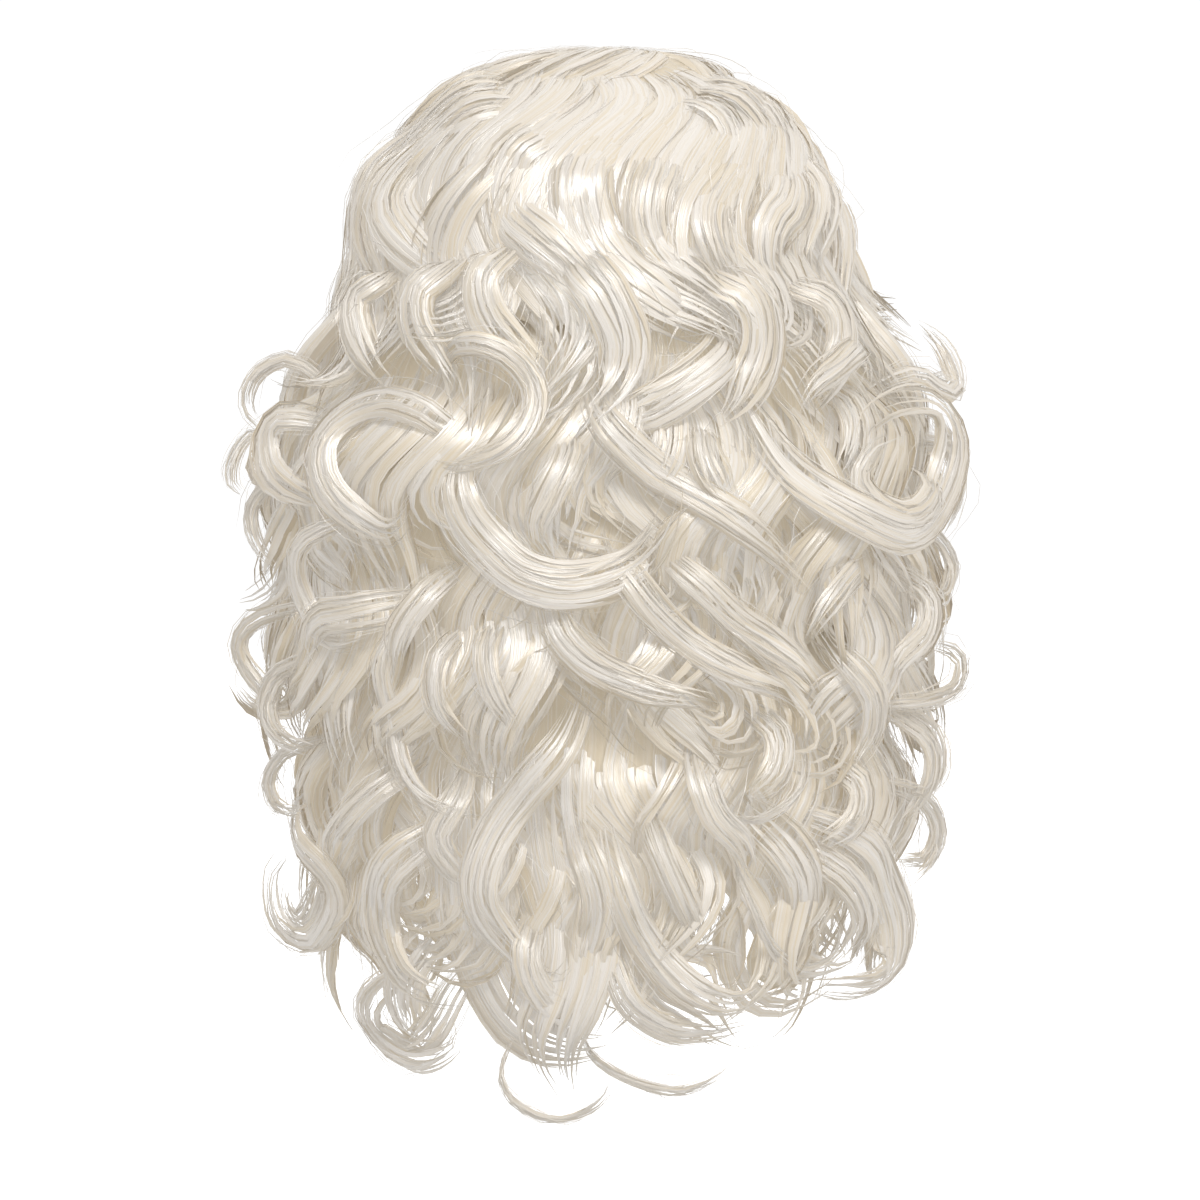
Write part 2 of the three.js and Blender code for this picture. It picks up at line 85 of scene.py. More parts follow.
class Wire:
    """A socket in a node tree. Arithmetic on it adds Math nodes, and node() adds any other node."""

    def __init__(self, tree, socket=None):
        self.tree = tree
        self.socket = socket

    def node(self, kind, settings=None, values=None, output=0):
        made = self.tree.nodes.new(kind)
        for name, value in (settings or {}).items():
            setattr(made, name, value)
        for slot, value in (values or {}).items():
            socket = self.pick(made.inputs, slot)
            if isinstance(value, Wire):
                self.tree.links.new(value.socket, socket)
            else:
                socket.default_value = value
        return Wire(self.tree, self.pick(made.outputs, output))

    @staticmethod
    def pick(sockets, slot):
        if slot is None:
            return None
        if isinstance(slot, int):
            return sockets[slot]
        return next(s for s in sockets if s.enabled and s.name == slot)

    def math(self, operation, first, second=0.0):
        return self.node("ShaderNodeMath", {"operation": operation}, {0: first, 1: second})

    def __add__(self, other):
        return self.math("ADD", self, other)

    __radd__ = __add__

    def __sub__(self, other):
        return self.math("SUBTRACT", self, other)

    def __rsub__(self, other):
        return self.math("SUBTRACT", other, self)

    def __mul__(self, other):
        return self.math("MULTIPLY", self, other)

    __rmul__ = __mul__

    def __pow__(self, other):
        return self.math("POWER", self, other)

    def least(self, other):
        return self.math("MINIMUM", self, other)

    def most(self, other):
        return self.math("MAXIMUM", self, other)

    def vector(self, operation, other):
        return self.node("ShaderNodeVectorMath", {"operation": operation}, {0: self, 1: other})

    def scaled(self, size):
        return self.node("ShaderNodeVectorMath", {"operation": "SCALE"}, {0: self, "Scale": size})

    def part(self, axis):
        return self.node("ShaderNodeSeparateXYZ", {}, {"Vector": self}, axis)

    def mix(self, low, high):
        values = {"Factor": self, "A": low, "B": high}
        return self.node("ShaderNodeMix", {"data_type": "RGBA"}, values, "Result")


def new_material(name):
    material = bpy.data.materials.new(name)
    material.use_nodes = True
    material.node_tree.nodes.clear()
    return material, Wire(material.node_tree)


def cap_point(azimuth, polar, off):
    return (
        (HEAD_HALF_WIDTH + off) * math.sin(polar) * math.sin(azimuth) * MM,
        (HEAD_HALF_LENGTH + off) * math.sin(polar) * math.cos(azimuth) * MM,
        ((HEAD_HALF_HEIGHT + off) * math.cos(polar) - HEAD_HALF_HEIGHT) * MM,
    )


def cap_mesh():
    """One profile for each azimuth: down the outside, round the band's edge and up the inside."""
    points = [cap_point(0, 0, CAP_WALL), cap_point(0, 0, 0)]
    courses = []
    for i in range(CAP_AZIMUTHS):
        azimuth = 2 * math.pi * i / CAP_AZIMUTHS
        degrees = abs((math.degrees(azimuth) + 180) % 360 - 180)
        edge = math.radians(read_table(CAP_EDGE, degrees))
        radius = HEAD_HALF_HEIGHT
        shares = [j / CAP_ROWS for j in range(1, CAP_ROWS + 1)]
        for share in shares:
            to_edge = (1 - share) * edge * radius
            swell = BAND_SWELL * ease((BAND_HEIGHT - to_edge) / BAND_SLOPE)
            round_off = EDGE_ROUND_OUTSIDE * ease(1 - to_edge / EDGE_LENGTH)
            points.append(cap_point(azimuth, edge * share, CAP_WALL + swell - round_off))
            courses.append(edge * share * radius)
        for share in reversed(shares):
            to_edge = (1 - share) * edge * radius
            round_off = EDGE_ROUND_INSIDE * ease(1 - to_edge / EDGE_LENGTH)
            points.append(cap_point(azimuth, edge * share, round_off))
            courses.append(edge * share * radius)
    depth = 2 * CAP_ROWS
    faces = []
    knit = []
    for i in range(CAP_AZIMUTHS):
        here = 2 + i * depth
        there = 2 + (i + 1) % CAP_AZIMUTHS * depth
        wale = (i / CAP_AZIMUTHS, (i + 1) / CAP_AZIMUTHS)
        faces.append((0, there, here))
        knit += [(wale[0], 0), (wale[1], courses[0]), (wale[0], courses[0])]
        for k in range(depth - 1):
            faces.append((here + k, there + k, there + k + 1, here + k + 1))
            high, low = courses[here - 2 + k], courses[here - 1 + k]
            knit += [(wale[0], high), (wale[1], high), (wale[1], low), (wale[0], low)]
        faces.append((1, here + depth - 1, there + depth - 1))
        knit += [(wale[0], 0), (wale[0], courses[-1]), (wale[1], courses[-1])]
    mesh = bpy.data.meshes.new("cap_net")
    mesh.from_pydata(points, [], faces)
    mesh.uv_layers.new(name="knit").data.foreach_set("uv", np.array(knit).ravel())
    mesh.shade_smooth()
    return mesh


def net_material():
    """Rows of small knitted loops, with painted shade darkening the holes of the net between them."""
    material, wire = new_material("beige elastic net")
    knit = wire.node("ShaderNodeUVMap", {"uv_map": "knit"})
    across = knit.part("X") * (KNIT_WALES * 2 * math.pi)
    down = knit.part("Y") * (2 * math.pi / KNIT_COURSE)
    slant = wire.math("SINE", across) * KNIT_SLANT
    loops = wire.math("ABSOLUTE", wire.math("SINE", across * 0.5)) * 0.6
    loops = loops + wire.math("SINE", down + slant) * 0.2 + 0.2
    place = wire.node("ShaderNodeTexCoord", output="Object")
    fuzz = wire.node("ShaderNodeTexNoise", {}, {"Vector": place, "Scale": FUZZ_SCALE, "Detail": 3.0})
    relief = {"Height": loops + fuzz * 0.3, "Strength": 0.7, "Distance": KNIT_RELIEF * MM}
    looks = {
        # Painted shade: the colour follows the loops' relief, so the net is darker in its holes.
        "Base Color": (loops * 0.75 + fuzz * 0.35).least(1.0).mix(NET_HOLE_SHADE, NET_PALE),
        "Roughness": NET_ROUGHNESS + fuzz * 0.2,
        "Normal": wire.node("ShaderNodeBump", {}, relief),
        "Sheen Weight": NET_SHEEN,
        "Sheen Roughness": 0.5,
    }
    skin = wire.node("ShaderNodeBsdfPrincipled", {}, looks)
    wire.node("ShaderNodeOutputMaterial", {}, {"Surface": skin}, None)
    return material


def place_piece(name, mesh):
    piece = bpy.data.objects.new(name, mesh)
    bpy.context.scene.collection.objects.link(piece)
    return piece


cap_net = place_piece("cap_net", cap_mesh())
cap_net.data.materials.append(net_material())
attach(cap_net, "root")
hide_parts("cap")


# Crown hair: long pale synthetic fibre, machine sewn to the top of the cap in a whorl and brushed down.
# Heat-set waves run in step over the whole crown. It is a combed layer with locks lying over it,
# loose strands over those, and fine flyaways at the outside.
HAIR_CLEARANCE = 2.9
CAP_SECTIONS = 4
CAP_SECTION_STEP = 22
# Rows down the hair: near ring (height, half width, reach behind, reach in front), far ring, and shift.
NEAR_RINGS = (
    (-128, 79, 97, 90), (-165, 80, 93, 86), (-208, 84, 90, 84), (-252, 88, 89, 82),
    (-297, 88, 87, 78), (-342, 84, 83, 74), (-388, 76, 78, 70),
)
FAR_RINGS = (
    (25, 0, 0, 0), (16, 51, 43, 66), (-9, 80, 83, 87), (-46, 99, 114, 100), (-88, 111, 129, 104),
    (-126, 127, 135, 105), (-163, 137, 137, 105), (-206, 138, 136, 104), (-251, 135, 132, 101),
    (-297, 131, 128, 97), (-342, 119, 121, 92), (-388, 98, 108, 84),
)
FAR_SHIFT = (32, 20, 9, 3, 0, 0, 0, 0, 0, 0, 0, 0)
# Row, and how the combed layer's inner and outer faces lie between the near ring (0) and the far one (1).
CROWN_LAYER = ((0, 0, 0.8), (2.1, 0, 0.82), (3, 0.62, 0.86), (4, 0.8, 0.92), (4.9, 0.85, 0.96))
CROWN_END = ((0, 4.7), (100, 4.6), (118, 3.6), (131, 2.15))
# The layer's scalloped hem, the steps of its mesh, how it thins, swells and sways, its streaks and tone,
# and the painted shade that gives it the deep colour.
HEM_RISE = 0.18
HEM_WAVES = 8
LAYER_STEP_DEGREES = 5
LAYER_STEP_ROWS = 0.25
LAYER_INSET = 0.02
LAYER_LEAST = 0.02
LAYER_LEAST_WALL = 0.5
HEM_SHARE = 0.25
HEM_THINNED = 0.75
HEM_PRESSED = 0.2
SURFACE_PER_ROW = 1.25
SWELL_SHARE = 0.6
SWELL_LENGTH = 60
SWAY_LENGTH = 100
LAYER_DRAWN_UP = 0.6
WAVE_AT_ROOT = 0.5
FULL_WAVE = 0.5
LAYER_ACROSS = 0.1
LAYER_ALONG = 0.04
LAYER_PAINTED_SHADE = -1.4
LAYER_TONE = 0.35
# A lock's root row and length, its heading at its start and its end (degrees from straight down), the
# shares of its length between which it turns, its sideways sway and outward ripple (degrees), its waves
# and their phase, the outward flip of its end, its rise, width and thickness, how many rows of it are
# hidden above its root, and how deep its root is sunk.
CROWN_STYLE = dict(
    row=0.45, length=205, start=0, end=0, turn_from=0.6, turn_to=1, sway=40, ripple=12, waves=1.7,
    phase=0.6, flip=0, rise=-1, width=42, thick=8, lead=0, sink=5,
)
CROWN_LOCKS = (
    dict(azimuth=-117, length=190, start=12),
    dict(azimuth=-98, length=195, end=40, flip=20, sink=14),
    dict(azimuth=-80, length=232, turn_from=0.8, flip=110, sink=14),
    dict(azimuth=-62, length=205, end=-70, flip=20, sink=10),
    dict(azimuth=-45, length=208),
    dict(azimuth=-28, length=200, end=50),
    dict(azimuth=-11, length=212),
    dict(azimuth=6, length=205, end=-80, flip=20),
    dict(azimuth=23, length=212),
    dict(azimuth=41, length=200, end=60, flip=20),
    dict(azimuth=60, length=204, sink=9),
    dict(azimuth=79, length=232, turn_from=0.8, flip=110, sink=11),
    dict(azimuth=98, length=195, sink=11),
    dict(azimuth=117, length=190, start=-12),
)
CROWN_FILL = dict(CROWN_STYLE, length=212, width=28, thick=7, turn_from=0.7, rise=-2, sink=9)
WHORL_STYLE = dict(
    CROWN_STYLE, row=0.05, length=82, start=30, sway=14, ripple=3, waves=0.8, rise=-5,
    width=24, thick=6, sink=2,
)
WHORL_FRONT = dict(
    WHORL_STYLE, row=0.3, length=118, start=0, sway=10, rise=2, sink=4, width=32, thick=8,
)
# A drawn curl's width, how far it is lifted off the hair, and the places on the back of the hair that it
# passes through: how far towards the wearer's left, and how high.
CROWN_CURLS = (
    (24, 0, (12, 3), (33, -6), (59, -15), (74, -26), (81, -39), (84, -52), (78, -64), (67, -76),
     (54, -86), (43, -98)),
    (22, 0, (1, -3), (20, -20), (35, -32), (39, -42), (37, -55), (24, -68), (7, -85), (1, -100)),
    (26, 0, (-9, -6), (-1, -23), (8, -38), (8, -55), (-1, -73), (-18, -91), (-41, -101), (-55, -102)),
    (20, 0, (-16, -12), (-22, -26), (-22, -37), (-18, -48), (-18, -60), (-26, -75), (-41, -87)),
    (18, 0, (-16, 11), (-29, -1), (-43, -12), (-52, -24), (-53, -35), (-47, -46), (-42, -57),
     (-43, -68), (-51, -81), (-64, -94)),
    (20, 0, (-18, 13), (-38, 1), (-57, -12), (-70, -25), (-76, -39), (-72, -52), (-66, -60), (-68, -73),
     (-79, -87), (-83, -102)),
    (18, 0, (-22, 14), (-45, 5), (-66, -10), (-80, -28), (-87, -43), (-86, -58), (-84, -68), (-89, -83),
     (-100, -98)),
    (14, 0, (-34, 14), (-60, -2), (-79, -23), (-92, -45), (-98, -66), (-100, -87), (-106, -104)),
    (16, 0, (18, 9), (43, 6), (66, -5), (85, -20), (96, -41), (103, -62), (106, -83), (113, -102)),
    (18, 0, (14, 7), (39, -2), (64, -13), (82, -29), (91, -45), (95, -62), (90, -79), (80, -98)),
    (20, 8, (-58, -96), (-47, -110), (-34, -123), (-20, -133), (-5, -139), (5, -142)),
    (18, 8, (62, -60), (60, -77), (67, -90), (68, -103), (62, -116), (54, -126)),
    (18, 8, (42, -55), (38, -71), (43, -85), (42, -100), (33, -112), (20, -122)),
    (16, 6, (90, -62), (87, -79), (94, -90), (96, -102), (92, -115), (83, -125)),
    (22, 8, (18, -60), (8, -78), (-1, -93), (-8, -110), (-4, -126), (7, -139)),
    (20, 7, (-40, -62), (-44, -80), (-56, -97), (-60, -114), (-53, -130), (-41, -142)),
    (16, 6, (-74, -66), (-78, -82), (-88, -96), (-92, -110), (-87, -124), (-78, -136)),
)
# The steps between a lock's points, the hidden lead above its root, its taper and its least turn.
LOCK_STEP = 7
CURL_STEP = 5
STRAND_STEP = 8
LEAD_STEPS = 5
LEAD_SINK = 9
LEAST_STEPS = 14
STEEP_START = 60
LOCK_PRESSED = 0.2
SINK_SHARE = 0.6
ROW_LENGTH = 38
ROOT_SHARE = 0.4
ROOT_GROWTH = 4
TIP_SHARE = 0.35
TIP_GROWTH = 2.2
LEAST_RADIUS = 29
PROBE = 0.02
FILL_SCATTER = 3
# How a drawn curl is turned to the hair that it lies on, sunk at its root, swelled and tapered.
CURL_LEAST_STEPS = 12
CURL_PROBE = 2
CURL_FACING = 3
CURL_ROUND = 0.02
CURL_SINK = 14
CURL_SINK_SHARE = 0.35
CURL_SWELL = 4
CURL_WAVE = 62
CURL_WAVE_START = 0.3
CURL_ROOT_SHARE = 0.3
CURL_ROOT_GROWTH = 2.6
CURL_FLATNESS = 0.22
CURL_LEAST_HALF = 0.7
# The fibre's colours, the deep one also standing for painted shade, how fine its streaks are across and
# along a hair, what makes a hair paler (its streaks, its own tone, and painted light and shade by how
# high it lies), and its relief and gloss.
HAIR_PALE = (0.68, 0.634, 0.574, 1)
HAIR_DEEP = (0.60, 0.505, 0.36, 1)
FINE_STREAKS = (1700, 7)
BROAD_STREAKS = (500, 5)
PAINTED_LIGHT_TONE = 0.3
FINE_TONE = 2.7
BROAD_TONE = 0.9
HAIR_TONE = 0.35
FIBRE_RELIEF = 0.5
FIBRE_ROUGHNESS = 0.22
ROUGHNESS_BETWEEN = 0.16
FIBRE_IOR = 1.55
FIBRE_ANISOTROPY = 0.6
# How far round a lock and how near its outside the hairs lie, how they twist, how much of the lock's
# width each one takes, how much painted light or shade shifts their colour, and how they wander, fray and
# end. Lengths here are in metres.
LOCK_SIZES = dict(
    Sides=3, Around=0.54, Nearest=0.9, Farthest=1.0, Twist=0.3, Bundle=0.12, Thinnest=0.0004,
    Flatness=0.06, Grain=0.0025, PaintedLight=0.0, Wander=0.006, Frizz=0.0015, Ragged=0.22, Shortest=0.8,
)
TIER_SIZES = dict(LOCK_SIZES, Ragged=0.45)
# Under hair is painted in shade: its colour is shifted towards the deep colour.
UNDER_SIZES = dict(TIER_SIZES, Bundle=0.15, PaintedLight=-0.8, Wander=0.009, Frizz=0.003, Shortest=0.75)
CROWN_UNDER_SIZES = dict(UNDER_SIZES, PaintedLight=-0.2, Ragged=0.22)
CURL_SIZES = dict(
    LOCK_SIZES, Around=0.48, Nearest=0.75, Grain=0.0015, Wander=0.007, Ragged=0.5, Shortest=0.65,
)
# Strands are painted paler, as painted highlight on the hair.
STRAND_SIZES = dict(
    Sides=3, Around=0.6, Nearest=0.95, Farthest=1.12, Twist=0.6, Bundle=0.0, Thinnest=0.00017,
    Flatness=1.0, Grain=0.0002, PaintedLight=1.2, Wander=0.011, Frizz=0.007, Ragged=0.1, Shortest=0.7,
)
# The two ways in which a hair strays, with the scale of each and how it grows towards the hair's end, and
# how each hair's tone moves it to its own part of the drift.
STRAYING = (("Wander", 16.0, 0.7), ("Frizz", 60.0, 1.6))
TONE_SHIFT = (9, 31, 17)
STRAY_AT_ROOT = 0.08
HAIR_TILT = 0.1
RIDGE_RIM = 0.6
HAIR_ROOT = 0.05
HAIR_GROWTH = 24
HAIR_TIP = 0.08
HAIR_TIP_GROWTH = 3
WIDTH_SPREAD = (0.6, 1.25)


def cap_ring(polar_degrees):
    polar = math.radians(polar_degrees)
    off = CAP_WALL + HAIR_CLEARANCE
    reach = (HEAD_HALF_LENGTH + off) * math.sin(polar)
    height = (HEAD_HALF_HEIGHT + off) * math.cos(polar) - HEAD_HALF_HEIGHT
    return (height, (HEAD_HALF_WIDTH + off) * math.sin(polar), reach, reach)


NEAR_ROWS = tuple(cap_ring(CAP_SECTION_STEP * i) for i in range(CAP_SECTIONS + 1)) + NEAR_RINGS


def ring_at(rings, row):
    """A ring between two sections, on a smooth curve through the rows, and straight on past the last."""
    last = len(rings) - 1
    low = min(max(int(math.floor(row)), 0), last - 1)
    share = row - low
    before, here, below, after = (rings[min(max(low + k, 0), last)] for k in (-1, 0, 1, 2))
    found = []
    for a, b, c, d in zip(before, here, below, after):
        if share > 1:
            found.append(c + (c - b) * (share - 1))
            continue
        slope_b = (c - a) / 2
        slope_c = (d - b) / 2
        bend = 3 * (c - b) - 2 * slope_b - slope_c
        twist = slope_b + slope_c - 2 * (c - b)
        found.append(b + share * (slope_b + share * (bend + share * twist)))
    return found


def ring_point(ring, azimuth, shift):
    reach = ring[2] if math.cos(azimuth) > 0 else ring[3]
    return np.array((ring[1] * math.sin(azimuth), shift + reach * math.cos(azimuth), ring[0]))


def hair_point(azimuth, row, depth):
    low = min(max(int(math.floor(row)), 0), len(FAR_SHIFT) - 2)
    share = min(max(row - low, 0), 1)
    shift = FAR_SHIFT[low] + (FAR_SHIFT[low + 1] - FAR_SHIFT[low]) * share
    near_ring = cap_ring(row * CAP_SECTION_STEP) if row < CAP_SECTIONS else ring_at(NEAR_ROWS, row)
    near = ring_point(near_ring, azimuth, 0)
    far = ring_point(ring_at(FAR_RINGS, row), azimuth, shift)
    return near + (far - near) * depth


def unit(vector):
    return vector / max(np.linalg.norm(vector), 1e-9)


def walk_lock(lock, layer, step):
    """Places down a lock, with the ways its edge, spread and flat side face there, and its half sizes."""

    def face(at_azimuth, at_row):
        return hair_point(at_azimuth, at_row, read_table(layer, at_row, 2))

    steps = max(round(lock["length"] / step), LEAST_STEPS)
    stride = lock["length"] / steps
    lead = lock["lead"] if abs(lock["start"]) < STEEP_START else 0
    lead_length = lead * ROW_LENGTH
    azimuth = math.radians(lock["azimuth"])
    row = lock["row"] - lead
    lift = 0
    stations = []
    for i in range(-LEAD_STEPS if lead else 0, steps + 1):
        share = max(i / steps, 0)
        under = max(-i / LEAD_STEPS, 0)
        turn = ease((share - lock["turn_from"]) / (lock["turn_to"] - lock["turn_from"]))
        wave = 2 * math.pi * (lock["waves"] * share + lock["phase"])
        grown = WAVE_AT_ROOT + (1 - WAVE_AT_ROOT) * ease(share / FULL_WAVE)
        swayed = lock["sway"] * math.sin(wave) * grown
        mean = math.radians(lock["start"] + (lock["end"] - lock["start"]) * turn) * (1 - under)
        heading = mean + math.radians(swayed) * (1 - under)
        pitch = math.radians(lock["ripple"] * math.cos(wave) * grown + lock["flip"] * turn) * (i >= 0)
        above = max(row - PROBE, 0)
        down = face(azimuth, row + PROBE) - face(azimuth, above)
        side = face(azimuth + PROBE, row) - face(azimuth - PROBE, row)
        per_row = np.linalg.norm(down) / (row + PROBE - above)
        per_radian = np.linalg.norm(side) / (2 * PROBE)
        down = unit(down)
        side = unit(side)
        out = unit(np.cross(side, down))
        along = down * math.cos(heading) + side * math.sin(heading)
        edge = side * math.cos(heading) - down * math.sin(heading)
        spread = side * math.cos(mean) - down * math.sin(mean)
        flat = out * math.cos(pitch) - along * math.sin(pitch)
        whole = (lead_length * (1 - under) + lock["length"] * share) / (lead_length + lock["length"])
        taper = min(ROOT_SHARE + ROOT_GROWTH * whole, 1, TIP_SHARE + TIP_GROWTH * (1 - share))
        half_width = lock["width"] / 2 * taper
        half_thick = lock["thick"] / 2 * taper
        sunk = lock["sink"] * (1 - ease(share / SINK_SHARE))
        raised = lift + lock["rise"] * ease(share) - LEAD_SINK * under - sunk
        point = face(azimuth, row) + out * raised
        stations.append((point, edge, spread, flat, half_width, half_thick, whole))
        if i < 0:
            row += lead / LEAD_STEPS
            continue
        azimuth += math.cos(pitch) * math.sin(heading) * stride / max(per_radian, LEAST_RADIUS)
        row += math.cos(pitch) * math.cos(heading) * stride / per_row
        lift = max(lift + math.sin(pitch) * stride, -LOCK_PRESSED * lock["thick"])
    return stations


def back_point(across, height, off):
    """The place on the back of the hair that is seen there from behind, moved off it the way it faces."""

    def behind(at_across, at_height):
        row = np.interp(-at_height, [-ring[0] for ring in FAR_RINGS], range(len(FAR_RINGS)))
        ring = ring_at(FAR_RINGS, row)
        inside = 1 - (at_across / max(ring[1], 1)) ** 2
        bulge = math.sqrt((inside + math.sqrt(inside ** 2 + CURL_ROUND)) / 2)
        return np.interp(row, range(len(FAR_SHIFT)), FAR_SHIFT) + ring[2] * bulge

    sideways = behind(across + CURL_PROBE, height) - behind(across - CURL_PROBE, height)
    upward = behind(across, height + CURL_PROBE) - behind(across, height - CURL_PROBE)
    sideways = min(max(sideways, -CURL_FACING), CURL_FACING)
    out = unit(np.array((-sideways, 2 * CURL_PROBE, -upward)))
    return np.array((across, behind(across, height), height)) + out * off, out


def draw_lock(lock, step):
    """The same down a curl drawn on the back of the hair, on a smooth line through its course."""
    course = np.array(lock["course"], float)
    course = np.vstack((2 * course[0] - course[1], course, 2 * course[-1] - course[-2]))
    line = []
    for a, b, c, d in zip(course, course[1:], course[2:], course[3:]):
        for share in np.arange(0, 1, 0.1):
            bend = 2 * a - 5 * b + 4 * c - d
            twist = 3 * b - a - 3 * c + d
            line.append(b + share / 2 * (c - a + share * (bend + share * twist)))
    line = np.array(line + [course[-2]])
    run = np.concatenate(([0], np.cumsum(np.linalg.norm(np.diff(line, axis=0), axis=1))))
    steps = max(round(run[-1] / step), CURL_LEAST_STEPS)
    shares = [i / steps for i in range(steps + 1)]
    places = [[np.interp(share * run[-1], run, line[:, k]) for k in (0, 1)] for share in shares]
    points, outs = [], []
    for share, place in zip(shares, places):
        off = lock["lift"] - (lock["lift"] + CURL_SINK) * (1 - ease(share / CURL_SINK_SHARE))
        off += CURL_SWELL * math.sin(2 * math.pi * (share * run[-1] / CURL_WAVE - CURL_WAVE_START))
        point, out = back_point(*place, off)
        points.append(point)
        outs.append(out)
    stations = []
    for i, share in enumerate(shares):
        along = unit(points[min(i + 1, steps)] - points[max(i - 1, 0)])
        edge = unit(np.cross(along, outs[i]))
        flat = np.cross(edge, along)
        root = CURL_ROOT_SHARE + CURL_ROOT_GROWTH * share
        half_width = lock["width"] / 2 * min(root, 1, TIP_SHARE + TIP_GROWTH * (1 - share))
        half_thick = CURL_FLATNESS * half_width + CURL_LEAST_HALF
        stations.append((points[i], edge, edge, flat, half_width, half_thick, share))
    return stations


def between(style, azimuths, seed, **spread):
    """Filler locks of a style, one at each azimuth, each of their values spread a little each way."""
    chance = np.random.default_rng(seed)
    locks = []
    for azimuth in azimuths:
        lock = dict(style, azimuth=azimuth + chance.uniform(-FILL_SCATTER, FILL_SCATTER))
        for name, reach in spread.items():
            lock[name] = lock[name] + chance.uniform(-reach, reach)
        locks.append(lock)
    return locks


def guide_mesh(locks, layer, step):
    """One open line of edges for each lock, with what the combing needs at each point."""
    stations, edges = [], []
    for lock in locks:
        walked = draw_lock(lock, step) if "course" in lock else walk_lock(lock, layer, step)
        edges += [(len(stations) + i, len(stations) + i + 1) for i in range(len(walked) - 1)]
        stations += walked
    points, edge_ways, spread_ways, flat_ways, widths, thicks, shares = map(np.array, zip(*stations))
    mesh = bpy.data.meshes.new("guides")
    mesh.from_pydata(list(points * MM), edges, [])
    for name, ways in (("edge", edge_ways), ("spread", spread_ways), ("flat", flat_ways)):
        mesh.attributes.new(name, "FLOAT_VECTOR", "POINT").data.foreach_set("vector", ways.ravel())
    for name, values in (("half_width", widths * MM), ("half_thick", thicks * MM), ("share", shares)):
        mesh.attributes.new(name, "FLOAT", "POINT").data.foreach_set("value", values)
    return mesh


